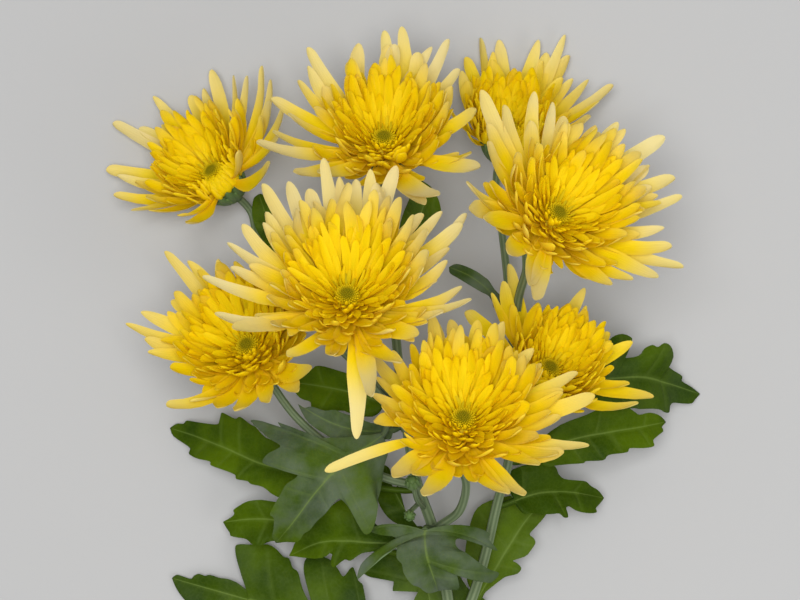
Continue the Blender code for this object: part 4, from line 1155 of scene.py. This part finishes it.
# %% [markdown]
# Petals of one bloom must not run through another bloom, a leaf or a stem. Each petal that comes too
# near is lifted, lowered, swung or shortened in small steps until it is clear; if no step clears it, it
# keeps the one that left it most room. The distances of all its points to all others are worked out as
# one matrix.

# %% Distances to other pieces
TESTED = np.linspace(0.3, 1.0, 9)    # places along a petal where it is tested


def nearest(points, others):
    """Distance from each point to the nearest of the others, by |a|^2 + |b|^2 - 2ab."""
    squares = (points ** 2).sum(-1)[:, None] + (others ** 2).sum(-1)[None] - 2 * points @ others.T
    return np.sqrt(np.maximum(squares.min(axis=1), 0.0))


def tested_points(bloom, turn, angle, length):
    """Points of each petal's middle line where its distance to other pieces is measured."""
    middle, tip = petal_ends(bloom, turn, angle, length)
    return bezier(bloom["root"], middle, tip, np.broadcast_to(TESTED, (PETALS, len(TESTED))))


# %% Bend the petals clear
PETAL_CLEARANCE = 2.4
OWN_ZONE = 16.0                      # round a bloom's middle, where its own cup and stalk are
NEIGHBOURHOOD = 62.0
LIFTS = (-6, 6, -12, 12, -18, 18, -26, 26)      # degrees, tried in this order
SWINGS = (0, 6, -6)
SHARES = (1.0, 0.86, 0.72, 0.58)     # of the petal's length
FRONT_TO_BACK = ("bloom_5", "bloom_7", "bloom_4", "bloom_2", "bloom_6", "bloom_8", "bloom_1",
                 "bloom_3")


def bend_clear(bloom, taken):
    """Changes turn, angle and length of the petals that come too near the points in taken."""
    away = np.linalg.norm(taken - bloom["centre"], axis=1)
    others = taken[(away > OWN_ZONE) & (away < NEIGHBOURHOOD)]
    tries = [(0, 0, 1.0)] + [(lift, swing, share) for share in SHARES for lift in LIFTS
                             for swing in SWINGS]
    best = np.full(PETALS, -1.0)
    kept = [bloom["turn"].copy(), bloom["angle"].copy(), bloom["length"].copy()]
    for lift, swing, share in tries:
        trial = (bloom["turn"] + math.radians(swing), bloom["angle"] + math.radians(lift),
                 bloom["length"] * share)
        points = tested_points(bloom, *trial)
        gap = nearest(points.reshape(-1, 3), others).reshape(PETALS, -1).min(axis=1)
        gap = np.where(points[..., 2].min(axis=1) < 0.6, 0.0, gap)
        better = (best < PETAL_CLEARANCE) & (gap > best)
        best = np.where(better, gap, best)
        for values, tried in zip(kept, trial):
            values[better] = tried[better]
        if best.min() >= PETAL_CLEARANCE:
            break
    moved = int((kept[1] != bloom["angle"]).sum())
    bloom["turn"], bloom["angle"], bloom["length"] = kept
    return tested_points(bloom, *kept).reshape(-1, 3), moved, float(best.min())


taken = np.vstack([line[::3] for line, _ in stem_lines.values()] + leaf_points)
for name in FRONT_TO_BACK:
    own, moved, closest = bend_clear(blooms[name], taken)
    taken = np.vstack([taken, own])
    print(name, "petals moved:", moved, "closest:", round(closest, 1))

# %% [markdown]
# ## The petals' surface
#
# Two things make a petal look grown and not cut out: its outline rounds off in a blunt tip, and no two
# are alike. So every petal gets its own bow, twist, roll and hook at the tip, from seeded chance. The
# rings crowd towards the tip, where the outline is an ellipse.

# %% Bow, arch and hook
HOOK = (-0.02, 0.09)         # how far the tip hooks in, as a share of the length
BOW, ARCH = 0.035, 0.025     # usual bow sideways and arch upwards, as such shares
FREEDOM = 0.45               # share of arch and hook that the outline's petals take
LEAST_HEIGHT = 0.7           # of a middle line over the surface


def petal_lines(bloom, chosen, t):
    """Middle lines of the chosen petals at t, with the directions across them and up from them.

    A line is its Bezier curve, bowed sideways by sin(pi t), arched by sin(pi t) and hooked by t^4.
    """
    chance, count = bloom["chance"], len(t)
    middle, tip = petal_ends(bloom, bloom["turn"], bloom["angle"], bloom["length"])
    root, middle, tip, length = (each[chosen] for each in (bloom["root"], middle, tip, bloom["length"]))
    way = unit(tip - root)
    across = towards(bloom["axes"], (bloom["root_turn"] + bloom["turn"])[chosen] / 2 + math.pi / 2,
                     math.pi / 2)
    across = unit(across - (across * way).sum(-1, keepdims=True) * way)
    lift = np.cross(way, across)
    free = np.where(bloom["in_outline"][chosen], FREEDOM, 1.0)
    bow = chance.normal(0, BOW, count) * length
    arch = chance.normal(0, ARCH, count) * length * free
    hook = chance.uniform(*HOOK, count) * length * free
    line = bezier(root, middle, tip, t)
    line = line + (np.sin(math.pi * t) * bow[:, None])[..., None] * across[:, None]
    line += (np.sin(math.pi * t) * arch[:, None] + t ** 4 * hook[:, None])[..., None] * lift[:, None]
    line[..., 2] = np.maximum(line[..., 2], LEAST_HEIGHT)
    return line, across, lift


# %% Petal shells
PETAL_DEPTH = 0.42           # thickness in the middle of a full-sized petal
NARROW_ROOT = 0.42           # half width at the root, as a share of the full one
BLUNT = (0.9, 2.2)           # length of the rounded tip in half widths
TAPER = (0.15, 0.55)         # share of its width that a petal loses towards the tip, before that
TWIST = 0.28                 # usual twist in radians


def petal_shells(bloom, chosen, body, cap, upper):
    """Shape of the chosen petals, with body + cap rings of 2 * upper - 2 corners.

    Along a petal, its half width grows from NARROW_ROOT to 1 of the full one, then narrows by its own
    taper, and falls off over the tip as the cosine while its length goes with the sine, as in an
    ellipse.
    """
    chance = bloom["chance"]
    place, length, half = (bloom[key][chosen] for key in ("place", "length", "half"))
    count = len(place)
    cap_start = 1 - np.clip(chance.uniform(*BLUNT, count) * half / length, 0.05, 0.4)[:, None]
    quarter = np.arange(1, cap + 1) / cap * math.pi / 2
    t = np.concatenate([cap_start * np.linspace(0, 1, body),
                        cap_start + (1 - cap_start) * np.sin(quarter)], axis=1)
    rounding = np.concatenate([np.ones(body), np.cos(quarter)])[:-1]
    taper = (chance.uniform(*TAPER, count) + 0.05 * bloom["in_outline"][chosen])[:, None]
    taper = taper * smooth((t - 0.4) / 0.7)
    width = NARROW_ROOT + (1 - NARROW_ROOT) * smooth(t / 0.6)
    width = half[:, None] * (width * (1 - taper))[:, :-1] * rounding
    line, across, lift = petal_lines(bloom, chosen, t)

    t = t[:, :-1]
    twist = chance.normal(0, TWIST, count)[:, None] * t
    side = np.cos(twist)[..., None] * across[:, None] + np.sin(twist)[..., None] * lift[:, None]
    roll = 0.35 + 0.85 * (1 - smooth(t / 0.5)) + 0.4 * smooth((t - 0.8) / 0.2)
    roll = roll * chance.uniform(0.7, 1.3, count)[:, None] + 0.3 * (1 - place[:, None])
    depth = np.minimum(PETAL_DEPTH, 0.32 * half)[:, None] * (0.5 + 0.5 * rounding)
    points, share, under = gutter_shells(line, side, width, roll, depth, upper)
    return tubes(points, t.shape[1], len(share), *petal_values(bloom, chosen, t, share, under))


# %% [markdown]
# Where a petal is pale and where it is gold is stored at its points. Cream starts at a third to a half
# of a long petal's reach and grows towards its tip, so short petals stay yellow. On a petal's back it
# starts near the root.

# %% Paleness of the petals
PALE_FROM = (0.33, 0.53)     # share of the full reach from which a petal fades
PALE_OVER = 0.42             # share of it over which the fading grows
PALE_BACKS = (17, 19)        # length from which backs fade, and the further length to the full fading
PALE_EDGE = 0.1              # more cream on the edges


def petal_values(bloom, chosen, t, share, under):
    """UV map of the petals, and how pale, deep in colour, tinted and green they are at t.

    The chance that sets each petal's start of fading, strength and tint is drawn in this order.
    """
    chance, grid = bloom["chance"], (*t.shape, len(share))
    place, length, rim = (bloom[key][chosen][:, None, None] for key in ("place", "length",
                                                                        "in_outline"))
    t = t[..., None]
    outer = np.where(rim, bloom["faded"] ** 0.7, bloom["faded"] * smooth((place - 0.2) / 0.5))
    pale_from = chance.uniform(*PALE_FROM, grid[0])[:, None, None] - 0.02 * rim
    inside = smooth((t * length / FULL_REACH - pale_from) / PALE_OVER) * outer
    inside = inside * chance.uniform(0.7, 1.0, grid[0])[:, None, None]
    outside = smooth(t / 0.45) * outer * smooth((length - PALE_BACKS[0]) / PALE_BACKS[1])
    edge = PALE_EDGE * np.abs(share) ** 3 * outer
    values = {"pale": np.clip(np.where(under > 0, outside, inside + edge), 0, 1),
              "deep": 1 - smooth(t / 0.55),
              "tint": chance.uniform(0, 1, grid[0])[:, None, None],
              "green": 1 - smooth(place / 0.13)}
    uv = np.stack([over_shells(share / 2 + 0.5, grid), over_shells(t, grid)], axis=-1)
    return uv, {key: over_shells(value, grid) for key, value in values.items()}


# %% [markdown]
# ## The petals' finish
#
# The yellow is deepest at the root and round the middle, clear lemon further out, and fades to cream
# at the tips of the long petals and on their backs. Fine veins run the length of every petal. The
# pattern reads the petal's own UV map and the values stored above, so it follows each petal.

# %% Petal material
CREAM = (0.860, 0.775, 0.430, 1.0)
LEMON = (0.955, 0.785, 0.003, 1.0)
GOLD = (0.960, 0.695, 0.001, 1.0)
YOUNG_GREEN = (0.670, 0.545, 0.006, 1.0)
LIGHT_THROUGH = 0.48         # share of the light that passes through a petal
VEIN_DRAW = (9.0, 0.7, 1.0)  # repeats of the veins' noise across and along the UV map
VEIN_SCALE = 2.2


def ray_petal():
    """Waxy yellow petal: gold at the root, lemon, cream at the tip, with long veins.

    A Translucent shader beside the Principled one lets light through to the petals behind.
    """
    made, tree, shader = plain_material("ray_petal", LEMON[:3], 0.5)
    uv = add_node(tree, "ShaderNodeUVMap", uv_map="grain").outputs[0]
    drawn = add_node(tree, "ShaderNodeMapping", {0: uv, 3: VEIN_DRAW}).outputs[0]
    veins = noise(tree, VEIN_SCALE, 3.0, drawn)
    yellow = mix_colours(tree, value_of(tree, "deep"), LEMON, GOLD)
    yellow = mix_colours(tree, times(tree, ranged(tree, veins, 0.42, 0.66), 0.35), yellow, GOLD)
    faded = mix_colours(tree, value_of(tree, "pale"), yellow, CREAM)
    varied = mix_colours(tree, value_of(tree, "tint", 0.12), faded, GOLD)
    final = mix_colours(tree, value_of(tree, "green"), varied, YOUNG_GREEN)
    facing = relief(tree, veins, 0.35, 0.0004)
    dress(tree, shader, final, facing, 0.15)
    through = add_node(tree, "ShaderNodeBsdfTranslucent", {"Color": final, "Normal": facing})
    both = {0: LIGHT_THROUGH, 1: shader.outputs[0], 2: through.outputs[0]}
    both = add_node(tree, "ShaderNodeMixShader", both)
    tree.links.new(both.outputs[0], tree.nodes["Material Output"].inputs["Surface"])
    return made


# %% Make the petals
SMALL_PLACE = 0.34           # petals nearer the middle than this get fewer faces
# Radius and height of the fleshy floor that the petals stand on, up to the disc
RECEPTACLE = np.array([(6.0, -7.2), (7.0, -5.0), (6.7, -2.8), (5.9, -0.9), (4.3, 0.3)])


def receptacle_shape(bloom):
    """A turned floor between the petals' roots, in their deep yellow."""
    radius, height = RECEPTACLE.T
    line = bloom["centre"] + bloom["axes"][2] * height[:, None]
    points, quads, tris, _, _ = ribbed_tube(line, radius, 32, 0, 0.0)
    zeros = np.zeros(len(points))
    values = {"pale": zeros, "deep": zeros + 1, "tint": zeros + 1, "green": zeros}
    return points, quads, tris, np.zeros((len(points), 2)), values


petal_look = ray_petal()
for name, bloom in blooms.items():
    small = bloom["place"] < SMALL_PLACE
    shape = join_shapes([receptacle_shape(bloom), petal_shells(bloom, small, 5, 3, 4),
                         petal_shells(bloom, ~small, 8, 4, 6)])
    petals = add_piece(name + "_rays", shape, petal_look)
    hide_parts(name + "_petals")
print("faces in the last bloom:", len(petals.data.polygons))

# %% [markdown]
# ## The green florets in the middle
#
# The eye of each bloom is a shallow boss of tiny closed florets, set by the same golden angle. Each one
# is a six-sided bud on its own spot of the boss, and all of them are worked out at once.

# %% Disc florets
FLORETS = 110
BOSS_RADIUS = 3.1
BOSS_HEIGHT = 2.0
FLORET_LEAN = 50             # degrees of the outermost florets
FLORET_PROFILE = np.array([(0.30, 0.0), (0.42, 0.45), (0.40, 0.8), (0.22, 1.1)])   # radius, height
FLORET_POINT = 0.1           # height of the floret's tip over its last ring
FLORET_SIDES = 6


def boss_shapes(name):
    """The boss, and the florets on it, each turned about the way that the boss faces there."""
    centre, axes = stand_of(name)
    angle = np.linspace(0, math.pi / 2 - 0.1, 7)
    boss = ribbed_tube(centre + axes[2] * (BOSS_HEIGHT * np.sin(angle))[:, None],
                       BOSS_RADIUS * np.cos(angle), 24, 0, 0.0)
    size = len(boss[0])
    # the boss takes the painted shade of the florets' feet
    boss = (*boss[:4], {"ripe": np.full(size, 0.6), "tip": np.zeros(size)})

    number = np.arange(FLORETS)
    place = np.sqrt((number + 0.5) / FLORETS)
    lean = place * math.radians(FLORET_LEAN)
    outward = towards(axes, number * GOLDEN_ANGLE, math.pi / 2)
    spot = (centre + outward * (BOSS_RADIUS * place)[:, None]
            + axes[2] * (BOSS_HEIGHT * np.sqrt(1 - 0.96 * place ** 2))[:, None])
    way = outward * np.sin(lean)[:, None] + axes[2] * np.cos(lean)[:, None]
    across = unit(np.cross(way, outward + 0.01))
    other = np.cross(way, across)
    turn = np.arange(FLORET_SIDES) * 2 * math.pi / FLORET_SIDES
    round_way = (np.cos(turn)[:, None] * across[:, None] + np.sin(turn)[:, None] * other[:, None])
    tall = (0.8 + 0.7 * smooth((place - 0.5) / 0.5))[:, None, None, None]
    radius, height = FLORET_PROFILE.T
    rings = (spot[:, None, None] + round_way[:, None] * radius[:, None, None]
             + way[:, None, None] * height[:, None, None] * tall)
    foot = spot[:, None]
    top = spot[:, None] + way[:, None] * (height[-1] + FLORET_POINT) * tall[:, :, 0]
    points = np.concatenate([foot, rings.reshape(FLORETS, -1, 3), top], axis=1)
    size = points.shape[1]
    values = {"ripe": np.repeat(place, size), "tip": np.tile(np.linspace(0, 1, size), FLORETS)}
    return [boss, tubes(points, len(radius), FLORET_SIDES, None, values)]


# %% Floret material
EYE_GREEN = (0.225, 0.180, 0.002, 1.0)
# painted shade at the florets' feet and on the boss between them
EYE_PAINTED_SHADE = (0.062, 0.060, 0.001, 1.0)
EYE_YELLOW = (0.720, 0.500, 0.003, 1.0)


def floret_skin():
    """Olive buds with painted shade at their feet and on the boss between them, yellower towards the rim
    of the eye.
    """
    made, tree, shader = plain_material("floret_skin", EYE_GREEN[:3], 0.6)
    # painted shade: darkest at a floret's foot, where its neighbours crowd in
    body = mix_colours(tree, value_of(tree, "tip"), EYE_PAINTED_SHADE, EYE_GREEN)
    ring = ranged(tree, value_of(tree, "ripe"), 0.5, 1.0)
    upper = ranged(tree, value_of(tree, "tip"), 0.0, 1.0, 0.5, 1.0)
    final = mix_colours(tree, times(tree, ring, upper), body, EYE_YELLOW)
    dress(tree, shader, final, relief(tree, noise(tree, 1200.0), 0.3, 0.0002), 0.05)
    return made


# %% Make the discs
floret_look = floret_skin()
for name in BLOOMS:
    disc = add_piece(name + "_disc", join_shapes(boss_shapes(name)), floret_look)
    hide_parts(name + "_centre")
print("faces in the last disc:", len(disc.data.polygons))
